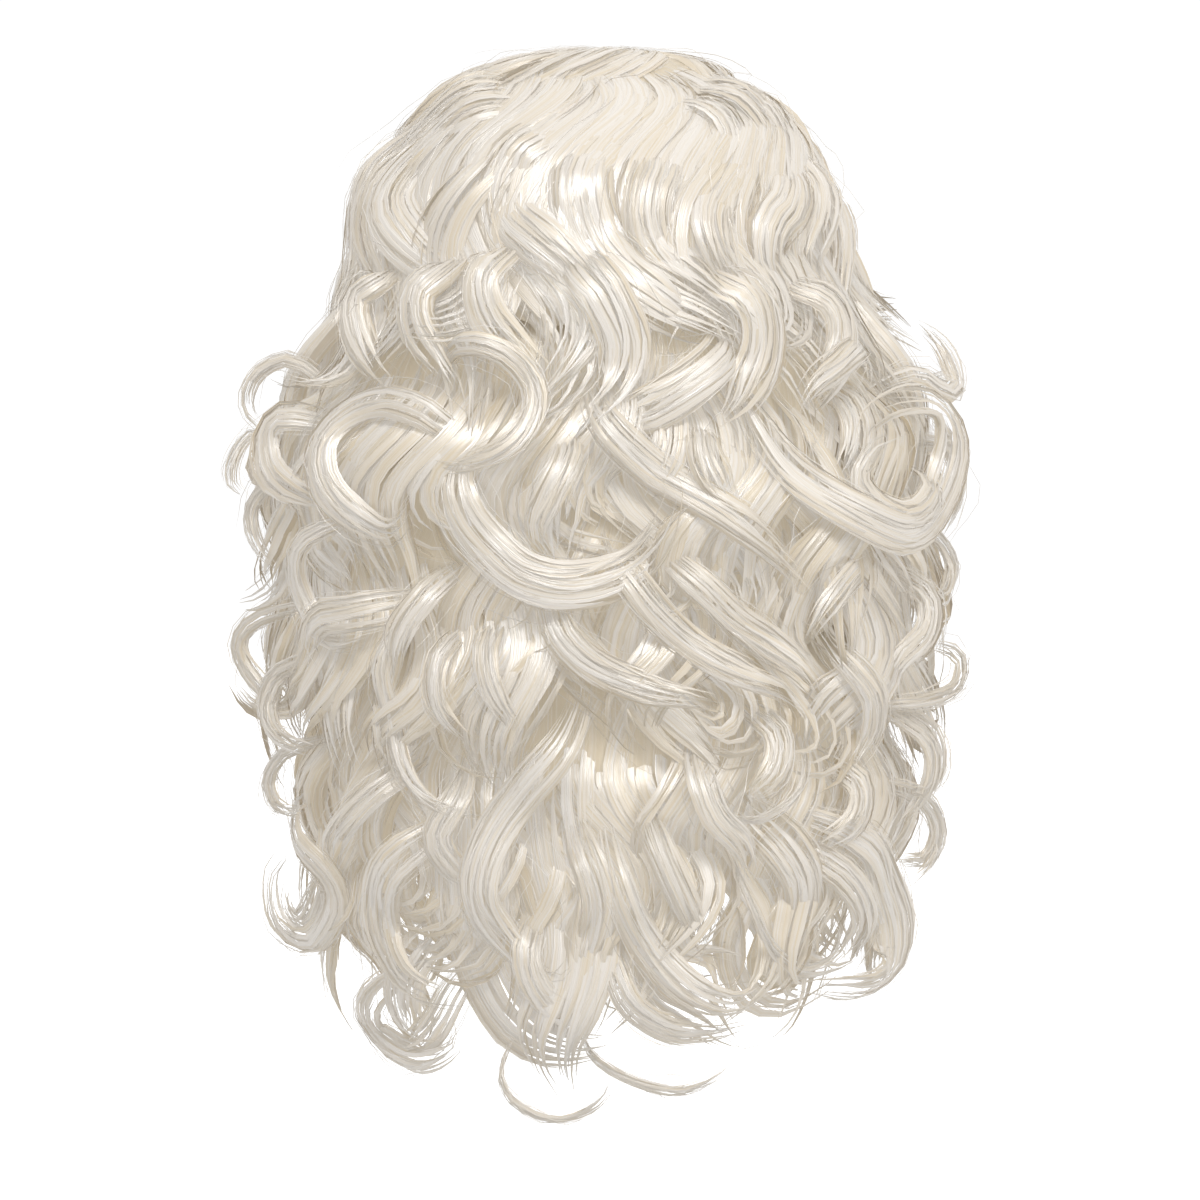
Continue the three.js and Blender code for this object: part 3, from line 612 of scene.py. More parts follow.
def comb_tree():
    """Lays hairs side by side round each lock, as low ridges that wander, fray and end unevenly."""
    tree = bpy.data.node_groups.new("comb hair", "GeometryNodeTree")
    kinds = dict(Geometry="Geometry", Amount="Int", Seed="Int", **{name: "Float" for name in LOCK_SIZES})
    kinds.update(Sides="Int", Hair="Material")
    for name, kind in kinds.items():
        tree.interface.new_socket(name, in_out="INPUT", socket_type="NodeSocket" + kind)
    tree.interface.new_socket("Geometry", in_out="OUTPUT", socket_type="NodeSocketGeometry")
    given = tree.nodes.new("NodeGroupInput")
    wire = Wire(tree)

    def asked(name):
        return Wire(tree, given.outputs[name])

    def chance(low, high, step):
        values = {"Min": low, "Max": high, "Seed": asked("Seed") + step}
        drawn = wire.node("FunctionNodeRandomValue", {"data_type": "FLOAT"}, values, "Value")
        settings = {"data_type": "FLOAT", "domain": "CURVE"}
        return wire.node("GeometryNodeFieldOnDomain", settings, {"Value": drawn})

    def held(name, kind="FLOAT"):
        settings = {"data_type": kind}
        return wire.node("GeometryNodeInputNamedAttribute", settings, {"Name": name}, "Attribute")

    def keep(geometry, name, value):
        settings = {"data_type": "FLOAT", "domain": "POINT"}
        values = {"Geometry": geometry, "Name": name, "Value": value}
        return wire.node("GeometryNodeStoreNamedAttribute", settings, values)

    curves = wire.node("GeometryNodeMeshToCurve", {}, {"Mesh": asked("Geometry")})
    copies = {"Geometry": curves, "Amount": asked("Amount")}
    curves = wire.node("GeometryNodeDuplicateElements", {"domain": "SPLINE"}, copies)
    number = Wire(tree, curves.socket.node.outputs["Duplicate Index"])
    share = held("share")
    tone = chance(0.0, 1.0, 1)
    curves = keep(curves, "tone", tone)
    tone = held("tone")
    place = wire.math("DIVIDE", number + chance(0.0, 1.0, 2), asked("Amount")) - 0.5
    turned = place * asked("Around") * (2 * math.pi) + asked("Twist") * chance(-1.0, 1.0, 3) * share
    curves = keep(curves, "turned", turned)
    turned = held("turned")
    curves = keep(curves, "far", chance(asked("Nearest"), asked("Farthest"), 4))
    height = held("far") * wire.math("COSINE", turned)
    sideways = held("far") * wire.math("SINE", turned)
    # Colour depth: a hair's height through its lock plus its painted light or shade.
    curves = keep(curves, "depth", height + asked("PaintedLight"))
    across = held("spread", "FLOAT_VECTOR").scaled(sideways * held("half_width"))
    through = held("flat", "FLOAT_VECTOR").scaled(height * held("half_thick"))
    place = wire.node("GeometryNodeInputPosition")
    shifts = {axis: tone * shift for axis, shift in zip("XYZ", TONE_SHIFT)}
    apart = wire.node("ShaderNodeCombineXYZ", {}, shifts)
    moved = across.vector("ADD", through)
    for size, scale, growth in STRAYING:
        noise = {"Vector": place.vector("ADD", apart), "Scale": scale, "Detail": 0.0}
        drift = wire.node("ShaderNodeTexNoise", {}, noise, "Color").vector("SUBTRACT", (0.5, 0.5, 0.5))
        moved = moved.vector("ADD", drift.scaled(asked(size) * (STRAY_AT_ROOT + share ** growth)))
    curves = wire.node("GeometryNodeSetPosition", {}, {"Geometry": curves, "Offset": moved})
    start = chance(0.0, asked("Ragged"), 8)
    ends = {"Curve": curves, "Start": start, "End": chance(asked("Shortest"), 1.0, 5)}
    curves = wire.node("GeometryNodeTrimCurve", {"mode": "FACTOR"}, ends)
    tilt = turned + chance(-HAIR_TILT, HAIR_TILT, 6)
    facing = held("edge", "FLOAT_VECTOR").scaled(wire.math("COSINE", tilt) * held("half_width") * -1)
    outward = held("flat", "FLOAT_VECTOR").scaled(wire.math("SINE", tilt) * held("half_thick"))
    facing = facing.vector("ADD", outward)
    facing = wire.node("ShaderNodeVectorMath", {"operation": "NORMALIZE"}, {0: facing})
    faced = {"Curve": curves, "Normal": facing}
    curves = wire.node("GeometryNodeSetCurveNormal", {"mode": "FREE"}, faced)
    curves = keep(curves, "along", wire.node("GeometryNodeSplineParameter", output="Length"))
    spot = wire.node("GeometryNodeSplineParameter", output="Factor")
    taper = (HAIR_ROOT + held("along") * HAIR_GROWTH).least(HAIR_TIP + (1 - spot) * HAIR_TIP_GROWTH)
    width = asked("Bundle") * held("half_width") + asked("Thinnest")
    width = width * chance(*WIDTH_SPREAD, 7) * taper.least(1.0)
    circle = {"Resolution": asked("Sides"), "Radius": 1.0}
    profile = wire.node("GeometryNodeCurvePrimitiveCircle", {}, circle)
    split = wire.node("GeometryNodeInputPosition")
    wide = split.part("X")
    tall = split.part("Y")
    outline = wire.node("ShaderNodeCombineXYZ", {}, {"X": tall * -1, "Y": wide * asked("Flatness")})
    profile = keep(profile, "across", tall * asked("Grain"))
    profile = wire.node("GeometryNodeSetPosition", {}, {"Geometry": profile, "Position": outline})
    sweep = {"Curve": curves, "Profile Curve": profile, "Scale": width, "Fill Caps": True}
    hairs = wire.node("GeometryNodeCurveToMesh", {}, sweep)
    hairs = wire.node("GeometryNodeSetShadeSmooth", {}, {"Geometry": hairs})
    rim = wire.math("GREATER_THAN", wire.math("ABSOLUTE", held("across")), asked("Grain") * RIDGE_RIM)
    crease = {"Geometry": hairs, "Selection": rim, "Shade Smooth": False}
    hairs = wire.node("GeometryNodeSetShadeSmooth", {"domain": "EDGE"}, crease)
    hairs = wire.node("GeometryNodeRealizeInstances", {}, {"Geometry": hairs})
    hairs = wire.node("GeometryNodeSetMaterial", {}, {"Geometry": hairs, "Material": asked("Hair")})
    wire.node("NodeGroupOutput", {}, {"Geometry": hairs}, None)
    return tree


def hair_material():
    """Cream fibre with fine streaks along the hair, painted paler where raised and darker where deep as
    painted light and shade, and rougher between them.
    """
    material, wire = new_material("cream fibre")

    def held(name):
        return wire.node("ShaderNodeAttribute", {"attribute_name": name}, output="Fac")

    def streaks(across_scale, along_scale):
        across = held("across") * across_scale
        along = held("along") * along_scale
        vector = wire.node("ShaderNodeCombineXYZ", {}, {"X": across, "Y": along, "Z": held("tone") * 40})
        noise = {"Vector": vector, "Scale": 1.0, "Detail": 2.0, "Roughness": 0.6}
        return wire.node("ShaderNodeTexNoise", {}, noise)

    fine = streaks(*FINE_STREAKS)
    broad = streaks(*BROAD_STREAKS)
    # Painted light and shade: a hair's depth in its lock makes it paler when raised and deeper when low.
    share = 0.5 + held("depth") * PAINTED_LIGHT_TONE + (fine - 0.5) * FINE_TONE + (broad - 0.5) * BROAD_TONE
    share = share + (held("tone") - 0.5) * HAIR_TONE
    relief = {"Height": fine * 0.6 + broad * 0.8, "Strength": 1.0, "Distance": FIBRE_RELIEF * MM}
    looks = {
        "Base Color": share.most(0.0).least(1.0).mix(HAIR_DEEP, HAIR_PALE),
        "Roughness": FIBRE_ROUGHNESS + (1 - fine) * ROUGHNESS_BETWEEN,
        "Normal": wire.node("ShaderNodeBump", {}, relief),
        "IOR": FIBRE_IOR,
        "Specular IOR Level": 1.0,
        "Anisotropic": FIBRE_ANISOTROPY,
    }
    skin = wire.node("ShaderNodeBsdfPrincipled", {}, looks)
    wire.node("ShaderNodeOutputMaterial", {}, {"Surface": skin}, None)
    return material


COMB = comb_tree()
CREAM_FIBRE = hair_material()


def comb(name, guides, **sizes):
    """The hairs of one kind along a tier's guides, as a plain mesh piece."""
    piece = place_piece(name, guides)
    combing = piece.modifiers.new("comb", "NODES")
    combing.node_group = COMB
    for socket in COMB.interface.items_tree:
        if socket.in_out == "INPUT" and socket.name in sizes:
            combing[socket.identifier] = sizes[socket.name]
        if socket.name == "Hair":
            combing[socket.identifier] = CREAM_FIBRE
    made = piece.evaluated_get(bpy.context.evaluated_depsgraph_get())
    hairs = bpy.data.meshes.new_from_object(made)
    piece.modifiers.remove(combing)
    piece.data = hairs
    hairs.name = name
    piece.visible_shadow = sizes["Bundle"] > 0
    piece.visible_diffuse = False
    return piece


def comb_tier(tier, layer, kinds):
    """The pieces of hair that lie over a tier's layer, one for each kind."""
    return [
        comb(f"{tier}_{kind}", guide_mesh(locks, layer, step), Amount=amount, Seed=seed, **sizes)
        for kind, locks, step, amount, seed, sizes in kinds
    ]


def combed_layer(name, layer, ends, first, last, style):
    """The layer under a tier's locks: a thin closed sheet that thins out towards its scalloped hem,
    coloured with painted shade.
    """
    whole = last - first == 360
    spans = math.ceil((last - first) / LAYER_STEP_DEGREES)
    rows = max(math.ceil((ends[0][1] - layer[0][0]) / LAYER_STEP_ROWS), 4)
    points, across, along, tone, depth = [], [], [], [], []
    columns = spans if whole else spans + 1
    for i in range(columns):
        degrees = first + (last - first) * i / spans
        azimuth = math.radians(degrees)
        hem = read_table(ends, abs(degrees)) + HEM_RISE * math.sin(HEM_WAVES * azimuth) - LAYER_DRAWN_UP
        outside, inside, swing = [], [], []
        for j in range(rows + 1):
            share = j / rows
            row = layer[0][0] + (hem - layer[0][0]) * share
            inner = read_table(layer, row, 1)
            outer = max(read_table(layer, row, 2) - LAYER_INSET, inner + LAYER_LEAST)
            outer = inner + (outer - inner) * (1 - HEM_THINNED * ease((share - 1) / HEM_SHARE + 1))
            length = max(row - style["row"], 0) * ROW_LENGTH * SURFACE_PER_ROW
            wave = 2 * math.pi * (style["waves"] * length / style["length"] + style["phase"])
            size = style["length"] / (2 * math.pi * style["waves"])
            size *= WAVE_AT_ROOT + (1 - WAVE_AT_ROOT) * ease(length / SWAY_LENGTH)
            raised = SWELL_SHARE * size * math.radians(style["ripple"]) * math.sin(wave)
            raised *= ease(length / SWELL_LENGTH)
            swing.append(size * math.radians(style["sway"]) * math.cos(wave) * MM)
            low = hair_point(azimuth, row, inner)
            high = hair_point(azimuth, row, outer)
            raised = max(raised, LAYER_LEAST_WALL - np.linalg.norm(high - low))
            raised *= 1 - ease((share - 1) / HEM_PRESSED + 1)
            outside.append((high + unit(high - low) * raised) * MM)
            inside.append(low * MM)
        points += outside + inside[::-1]
        across += [azimuth * LAYER_ACROSS + s for s in swing + swing[::-1]]
        lengths = [LAYER_ALONG * (hem - layer[0][0]) * j / rows for j in range(rows + 1)]
        along += lengths + lengths[::-1]
        # Painted shade: the whole layer takes the deep colour of hair lying in shade.
        depth += [LAYER_PAINTED_SHADE] * (2 * rows + 2)
        tone += [LAYER_TONE] * (2 * rows + 2)
    around = 2 * rows + 2
    faces = []
    for i in range(spans):
        here = i * around
        there = (i + 1) % columns * around
        for k in range(around):
            after = (k + 1) % around
            faces.append((here + k, here + after, there + after, there + k))
    if not whole:
        end = spans * around
        for k in range(rows):
            opposite = around - 1 - k
            faces.append((k, opposite, opposite - 1, k + 1))
            faces.append((end + k, end + k + 1, end + opposite - 1, end + opposite))
    mesh = bpy.data.meshes.new(name)
    mesh.from_pydata(points, [], faces)
    for label, values in (("across", across), ("along", along), ("tone", tone), ("depth", depth)):
        mesh.attributes.new(label, "FLOAT", "POINT").data.foreach_set("value", values)
    mesh.shade_smooth()
    mesh.materials.append(CREAM_FIBRE)
    return place_piece(name, mesh)


def on_style(style, locks):
    return [dict(style, **lock) for lock in locks]


def drawn_curls(curls):
    return [dict(width=width, lift=lift, course=course) for width, lift, *course in curls]


crown_layer = combed_layer("crown_layer", CROWN_LAYER, CROWN_END, -180, 180, CROWN_STYLE)
crown_guides = on_style(CROWN_STYLE, CROWN_LOCKS)
crown_drawn = drawn_curls(CROWN_CURLS)
crown_fill = between(CROWN_FILL, range(-112, 113, 9), 11, row=0.25, length=30, phase=0.05, sway=6, end=60)
whorl_fill = between(WHORL_STYLE, range(-180, 180, 24), 12, row=0.04, length=12, start=15)
whorl_fill += between(WHORL_FRONT, range(126, 235, 6), 18, row=0.15, length=10, start=10, phase=0.1)
crown_all = crown_guides + crown_fill + whorl_fill
# Kind of hair, the locks it lies along, the step between their points, hairs to a lock, seed and sizes.
crown_kinds = (
    ("locks", crown_guides, LOCK_STEP, 34, 21, LOCK_SIZES),
    ("under", crown_fill + whorl_fill, LOCK_STEP, 16, 22, CROWN_UNDER_SIZES),
    ("curls", crown_drawn, CURL_STEP, 28, 23, CURL_SIZES),
    ("strands", crown_all + crown_drawn, STRAND_STEP, 8, 31, STRAND_SIZES),
)
for piece in (crown_layer, *comb_tier("crown", CROWN_LAYER, crown_kinds)):
    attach(piece, "root")
    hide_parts("crown_weft")

# Front hair: two wefts sewn along the hairline from a parting, swept off the face and down each side.
# The right one is the left one's mirror image, in the same fibre and with the same waves.
FRONT_LAYER = ((1.8, 0, 0.82), (2.4, 0, 0.84), (3, 0.1, 0.74), (5, 0.3, 0.9))
FRONT_END = ((0, 3.4),)
FRONT_STYLE = dict(
    row=2, length=300, start=-75, end=0, turn_from=0.05, turn_to=0.45, sway=26, ripple=18, waves=2.6,
    phase=0, flip=0, rise=-3, width=36, thick=12, lead=0, sink=0,
)
FRONT_LOCKS = (
    dict(azimuth=172, row=2.0, length=325),
    dict(azimuth=170, row=2.5, length=295, phase=0.3),
    dict(azimuth=154, row=2.75, length=262, start=-45, phase=0.55),
)
PARTING_STYLE = dict(FRONT_STYLE, length=240, width=24, thick=8, rise=-3, sway=16, ripple=10)
PARTING_LOCKS = (
    dict(azimuth=176, row=1.75, start=-72, length=270),
    dict(azimuth=175, row=1.95, start=-78, length=260),
    dict(azimuth=176, row=2.15, start=-82, phase=0.2),
    dict(azimuth=175, row=2.35, start=-84, phase=0.1),
    dict(azimuth=176, row=2.55, start=-86, phase=0.3),
    dict(azimuth=174, row=2.72, start=-84, phase=0.2),
)
FRONT_SIZES = dict(LOCK_SIZES, Bundle=0.2, Ragged=0.04)
FRONT_AZIMUTHS = (166, 160, 152, 144, 136)


def mirrored(locks):
    turned = ("azimuth", "start", "end", "sway")
    return [{name: -value if name in turned else value for name, value in lock.items()} for lock in locks]


front_left_guides = on_style(FRONT_STYLE, FRONT_LOCKS)
front_left_guides += between(FRONT_STYLE, FRONT_AZIMUTHS, 13, row=0.25, length=30, phase=0.2, start=15)
front_left_guides += on_style(PARTING_STYLE, PARTING_LOCKS)
FRONT_SIDES = (
    ("front_left", "front_weft_left", front_left_guides, 126, 179.7),
    ("front_right", "front_weft_right", mirrored(front_left_guides), -179.7, -126),
)
for side, weft, guides, first, last in FRONT_SIDES:
    layer = combed_layer(side + "_layer", FRONT_LAYER, FRONT_END, first, last, FRONT_STYLE)
    kinds = (
        ("hair", guides, LOCK_STEP, 11, 24, FRONT_SIZES),
        ("strands", guides, STRAND_STEP, 8, 32, STRAND_SIZES),
    )
    for piece in (layer, *comb_tier(side, FRONT_LAYER, kinds)):
        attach(piece, "root")
        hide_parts(weft)

# Upper tier: a weft sewn round the back of the cap, its hair rolled and heat-set into loose open curls.
# It is the same fibre as the crown, whose ends lie over its top. Its largest curls lie open on the hair.
TEMPLE = 122
UPPER_LAYER = (
    (2.35, 0, 0.32), (3.1, 0.25, 0.45), (4.2, 0.45, 0.66), (4.9, 0.6, 0.8), (5.4, 0.68, 0.9),
    (6.2, 0.78, 0.92),
)
UPPER_END = ((0, 6.1),)
UPPER_STYLE = dict(
    row=5, length=100, start=0, end=0, turn_from=0.3, turn_to=1, sway=30, ripple=20, waves=1.1,
    phase=0, flip=0, rise=0, width=34, thick=11, lead=1, sink=3,
)
UPPER_LOCKS = (
    dict(azimuth=114, length=105, end=30),
    dict(azimuth=90, row=4.7, length=88, flip=215, sway=10, width=20, thick=9),
    dict(azimuth=74, row=5.2, length=92, end=60, flip=40),
    dict(azimuth=56, length=105, end=-50),
    dict(azimuth=-4, length=85, start=35, end=-10, sway=10),
    dict(azimuth=-18, length=100, start=-20, end=20),
    dict(azimuth=-88, row=4.4, length=88, flip=240, sway=10, width=20, thick=9),
    dict(azimuth=-114, length=105, end=-30),
)
UPPER_FILL = dict(
    UPPER_STYLE, row=4.6, length=125, sway=45, waves=1.2, ripple=26, turn_from=0.55, rise=-4, sink=8,
)
FILL_SPREAD = dict(row=0.35, length=18, end=120, phase=0.3, flip=8)
UPPER_CURLS = (
    (10, 10, (68, -130), (71, -122), (63, -113), (49, -110), (35, -114), (26, -127), (28, -143),
     (38, -153), (55, -157), (68, -154)),
    (14, 10, (31, -142), (43, -147), (56, -145), (68, -135), (83, -131), (96, -135), (104, -146),
     (105, -159), (100, -171), (90, -180), (79, -183), (70, -176), (61, -160)),
    (20, 10, (42, -128), (52, -142), (56, -159), (52, -175), (43, -188), (29, -199), (10, -203),
     (-9, -197), (-20, -185), (-25, -169), (-22, -159)),
    (18, 15, (-62, -104), (-56, -120), (-57, -135), (-64, -151), (-76, -164), (-93, -176), (-109, -182),
     (-123, -178), (-130, -168), (-133, -156), (-130, -144), (-122, -136), (-109, -134), (-99, -140),
     (-95, -149), (-100, -159)),
    (12, 13, (-121, -142), (-127, -152), (-125, -167), (-114, -176), (-103, -171), (-97, -161),
     (-102, -150), (-111, -146)),
    (15, 10, (12, -108), (6, -125), (-2, -142), (-16, -156), (-34, -168), (-51, -180), (-68, -193),
     (-79, -205)),
    (14, 10, (102, -132), (115, -135), (126, -141), (130, -150), (128, -161), (117, -168), (104, -171)),
    (7, 10, (108, -119), (121, -115), (132, -117), (138, -124), (140, -132), (138, -139), (133, -142)),
    (5, 10, (130, -136), (138, -139), (144, -146), (146, -155), (145, -163), (140, -167)),
    (10, 10, (-104, -121), (-119, -118), (-130, -127), (-137, -126), (-140, -115), (-138, -105),
     (-132, -99), (-125, -97)),
    (12, 10, (-112, -102), (-100, -110), (-87, -119), (-76, -127), (-72, -138)),
    (14, 10, (18, -134), (12, -150), (18, -167), (24, -182), (18, -192)),
    (14, 10, (-41, -134), (-37, -148), (-41, -163), (-47, -171)),
    (18, 2, (1, -113), (-8, -129), (-4, -148), (5, -165)),
    (18, 2, (-20, -121), (-27, -138), (-25, -155), (-16, -171)),
    (20, 0, (-92, -112), (-100, -130), (-101, -148), (-94, -164)),
    (7, 5, (-120, -136), (-134, -142), (-141, -155), (-141, -169), (-136, -184), (-130, -189)),
    (6, 5, (117, -159), (133, -162), (140, -172), (138, -186), (132, -197)),
)


def tier_kinds(number, guides, fill, drawn):
    """The kinds of hair in a tier: its locks, the filler under them, its drawn curls and its strands."""
    return (
        ("locks", guides, LOCK_STEP, 27, 20 + number, TIER_SIZES),
        ("under", fill, LOCK_STEP, 15, 30 + number, UNDER_SIZES),
        ("curls", drawn, CURL_STEP, 28, 50 + number, CURL_SIZES),
        ("strands", guides + fill + drawn, STRAND_STEP, 8, 40 + number, STRAND_SIZES),
    )


upper_guides = on_style(UPPER_STYLE, UPPER_LOCKS)
upper_drawn = drawn_curls(UPPER_CURLS)
upper_fill = between(UPPER_FILL, range(-117, 118, 9), 14, **FILL_SPREAD)
upper_layer = combed_layer("upper_layer", UPPER_LAYER, UPPER_END, -TEMPLE, TEMPLE, UPPER_STYLE)
upper_kinds = tier_kinds(5, upper_guides, upper_fill, upper_drawn)
for piece in (upper_layer, *comb_tier("upper", UPPER_LAYER, upper_kinds)):
    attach(piece, "root")
    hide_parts("upper_weft")

# Middle tier: the second weft, sewn to the cap below the first, longer, and set in the same way.
# Its curls run slantwise across the back, and its ends are turned out in hooks at the sides.
MIDDLE_LAYER = (
    (3.3, 0, 0.2), (4.3, 0.14, 0.3), (5.4, 0.3, 0.5), (6.2, 0.5, 0.72), (6.8, 0.6, 0.86),
    (8.2, 0.72, 0.89),
)
MIDDLE_END = ((0, 8),)
MIDDLE_STYLE = dict(
    UPPER_STYLE, row=6.4, length=110, turn_from=0.35, sway=34, ripple=22, waves=1.2, phase=0.2, lead=1.2,
)
MIDDLE_LOCKS = (
    dict(azimuth=113, length=105),
    dict(azimuth=78, row=7, length=86, flip=160, sway=20, width=24, thick=10),
    dict(azimuth=58, length=115, end=-60),
    dict(azimuth=17, length=115, sway=28, phase=0.5),
    dict(azimuth=-50, length=115, end=50, phase=0.6),
    dict(azimuth=-72, length=110, end=-50, flip=10),
    dict(azimuth=-113, length=105),
)
MIDDLE_FILL = dict(
    MIDDLE_STYLE, row=6.1, length=130, sway=45, waves=1.2, ripple=24, turn_from=0.55, rise=-6, sink=11,
)
MIDDLE_CURLS = (
    (8, 7, (87, -169), (99, -175), (110, -181), (117, -189), (120, -201), (118, -213), (112, -222),
     (102, -226), (85, -223)),
    (14, 7, (68, -205), (81, -211), (96, -214), (108, -216), (116, -226), (111, -238)),
    (10, 7, (75, -197), (80, -218), (83, -239), (82, -258), (78, -272), (69, -284), (57, -292),
     (43, -294)),
    (14, 7, (3, -172), (-3, -188), (-11, -202), (-20, -214), (-33, -226), (-50, -237), (-66, -244),
     (-77, -252)),
    (14, 7, (-18, -176), (-26, -192), (-37, -204), (-49, -215), (-65, -226), (-75, -236), (-81, -251)),
    (14, 7, (26, -190), (21, -209), (14, -224), (2, -236), (-16, -244), (-34, -248), (-47, -251)),
    (12, 7, (-110, -186), (-101, -195), (-89, -204), (-81, -214), (-76, -226)),
    (13, 7, (-116, -188), (-127, -205), (-125, -222), (-116, -236), (-118, -251)),
    (7, 7, (-104, -251), (-116, -252), (-130, -248), (-140, -243), (-144, -234), (-140, -229),
     (-132, -227)),
    (11, 7, (43, -209), (44, -228), (39, -247), (31, -262)),
    (10, 7, (56, -213), (62, -232), (60, -251), (51, -266)),
    (13, 7, (58, -190), (66, -205), (75, -222), (79, -239)),
    (8, 7, (119, -209), (132, -213), (140, -218), (144, -226), (142, -236), (136, -247), (128, -258)),
    (9, 7, (123, -226), (130, -238), (132, -252), (126, -265), (114, -270)),
    (14, 7, (-95, -213), (-93, -230), (-102, -247), (-104, -264), (-97, -278)),
    (14, 7, (-58, -247), (-66, -262), (-62, -278), (-51, -289)),
    (6, 5, (-122, -176), (-134, -182), (-139, -194), (-135, -206), (-128, -208)),
    (6, 5, (115, -230), (130, -238), (135, -249), (131, -260), (122, -264)),
    (7, 5, (-121, -251), (-132, -260), (-134, -275), (-127, -287), (-118, -285)),
)
middle_guides = on_style(MIDDLE_STYLE, MIDDLE_LOCKS)
middle_drawn = drawn_curls(MIDDLE_CURLS)
middle_fill = between(MIDDLE_FILL, range(-115, 116, 10), 15, **FILL_SPREAD)
middle_layer = combed_layer("middle_layer", MIDDLE_LAYER, MIDDLE_END, -TEMPLE, TEMPLE, MIDDLE_STYLE)
middle_kinds = tier_kinds(6, middle_guides, middle_fill, middle_drawn)
for piece in (middle_layer, *comb_tier("middle", MIDDLE_LAYER, middle_kinds)):
    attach(piece, "root")
    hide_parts("middle_weft")

# Lower tier: the third and longest weft, of the same fibre, sewn lowest and hanging to the shoulders.
# It ends in ringlets, hooked ends and a few thin loops that have come away from them.
LOWER_LAYER = (
    (4.25, 0, 0.11), (5.4, 0.06, 0.2), (7, 0.25, 0.42), (8.2, 0.42, 0.66), (8.8, 0.48, 0.82),
    (10.2, 0.55, 0.82),
)
LOWER_END = ((0, 10),)
LOWER_STYLE = dict(MIDDLE_STYLE, row=8.4, length=120, turn_from=0.4, sway=32, ripple=24, phase=0)
LOWER_LOCKS = (
    dict(azimuth=98, length=95, end=40),
    dict(azimuth=25, row=8.8, length=140, start=-6, end=-130, turn_from=0.55, sway=18),
    dict(azimuth=9, row=8.8, length=132, sway=20, phase=0.5),
    dict(azimuth=-72, length=100, sway=36, end=80),
    dict(azimuth=-98, length=95, end=-40),
)
LOWER_FILL = dict(
    LOWER_STYLE, row=7.7, length=145, sway=42, waves=1.3, ripple=24, turn_from=0.6, rise=-5, sink=10,
)
LOWER_ENDS = dict(LOWER_FILL, row=8.8, length=112, turn_from=0.4)
LOWER_CURLS = (
    (17, 6, (8, -234), (10, -251), (17, -268), (30, -284), (40, -298), (45, -314), (45, -329),
     (38, -344), (27, -355), (16, -357), (10, -348)),
    (13, 6, (115, -278), (127, -293), (122, -303), (113, -312), (108, -323), (108, -335), (116, -346),
     (127, -343), (133, -333), (135, -322), (130, -313)),
    (14, 6, (75, -268), (84, -281), (95, -293), (105, -305), (108, -318)),
    (19, 6, (52, -289), (66, -301), (79, -314), (87, -329), (87, -343), (77, -355), (61, -363),
     (47, -368)),
    (13, 6, (56, -360), (77, -358), (89, -365), (92, -378), (85, -391), (71, -394), (58, -390),
     (54, -381), (59, -372)),
    (15, 6, (2, -285), (-4, -314), (-10, -332), (-19, -348), (-32, -361), (-47, -367), (-61, -363),
     (-69, -352)),
    (13, 6, (-16, -283), (-20, -302), (-26, -318), (-34, -335), (-39, -350)),
    (11, 6, (1, -335), (-4, -354), (-11, -368), (-26, -380), (-43, -382), (-55, -377)),
    (20, 6, (-64, -292), (-83, -298), (-100, -307), (-111, -323), (-117, -339), (-113, -354),
     (-100, -362), (-84, -365), (-75, -363)),
    (15, 6, (-70, -306), (-85, -312), (-96, -323), (-102, -337), (-99, -350), (-89, -357)),
    (2.5, 6, (-57, -300), (-55, -323), (-59, -339), (-68, -351), (-79, -357), (-89, -351), (-91, -339),
     (-84, -330)),
    (2.5, 6, (-41, -289), (-47, -295), (-58, -296), (-70, -287), (-77, -274), (-78, -260)),
    (2.5, 6, (34, -371), (38, -392), (33, -408), (21, -416), (10, -415), (0, -408), (-4, -397)),
    (3, 6, (16, -379), (5, -391), (-8, -399), (-21, -404), (-33, -405), (-45, -400), (-51, -391)),
    (13, 6, (26, -327), (29, -346), (23, -362), (12, -373), (1, -371)),
    (8, 6, (-112, -247), (-127, -264), (-129, -278), (-125, -293), (-116, -304)),
    (3, 6, (-127, -285), (-133, -293), (-132, -310), (-121, -322)),
    (14, 6, (18, -289), (8, -306), (1, -327), (5, -348), (12, -362)),
    (13, 6, (-41, -260), (-37, -276), (-41, -293), (-53, -306), (-60, -323)),
    (13, 6, (62, -268), (56, -285), (62, -302), (56, -318), (43, -327)),
    (13, 6, (-91, -268), (-100, -283), (-95, -297), (-83, -306)),
    (13, 3, (117, -312), (114, -327), (119, -339), (127, -334), (129, -323)),
    (20, 2, (68, -337), (77, -358), (75, -377), (66, -391)),
    (16, 2, (59, -356), (62, -371), (68, -384), (78, -391)),
    (22, 0, (-55, -285), (-69, -304), (-79, -323), (-81, -342), (-74, -356)),
    (6, 5, (113, -264), (128, -271), (133, -283), (128, -293), (117, -294)),
    (8, 5, (-109, -283), (-127, -289), (-133, -302), (-129, -315), (-118, -315)),
)
lower_guides = on_style(LOWER_STYLE, LOWER_LOCKS)
lower_drawn = drawn_curls(LOWER_CURLS)
lower_fill = between(LOWER_FILL, range(-102, 103, 9), 16, **FILL_SPREAD)
lower_fill += between(LOWER_ENDS, range(-56, 66, 9), 17, row=0.3, length=15, end=190, phase=0.3, flip=12)
lower_layer = combed_layer("lower_layer", LOWER_LAYER, LOWER_END, -108, 108, LOWER_STYLE)
lower_kinds = tier_kinds(7, lower_guides, lower_fill, lower_drawn)
for piece in (lower_layer, *comb_tier("lower", LOWER_LAYER, lower_kinds)):
    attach(piece, "root")
    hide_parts("lower_weft")
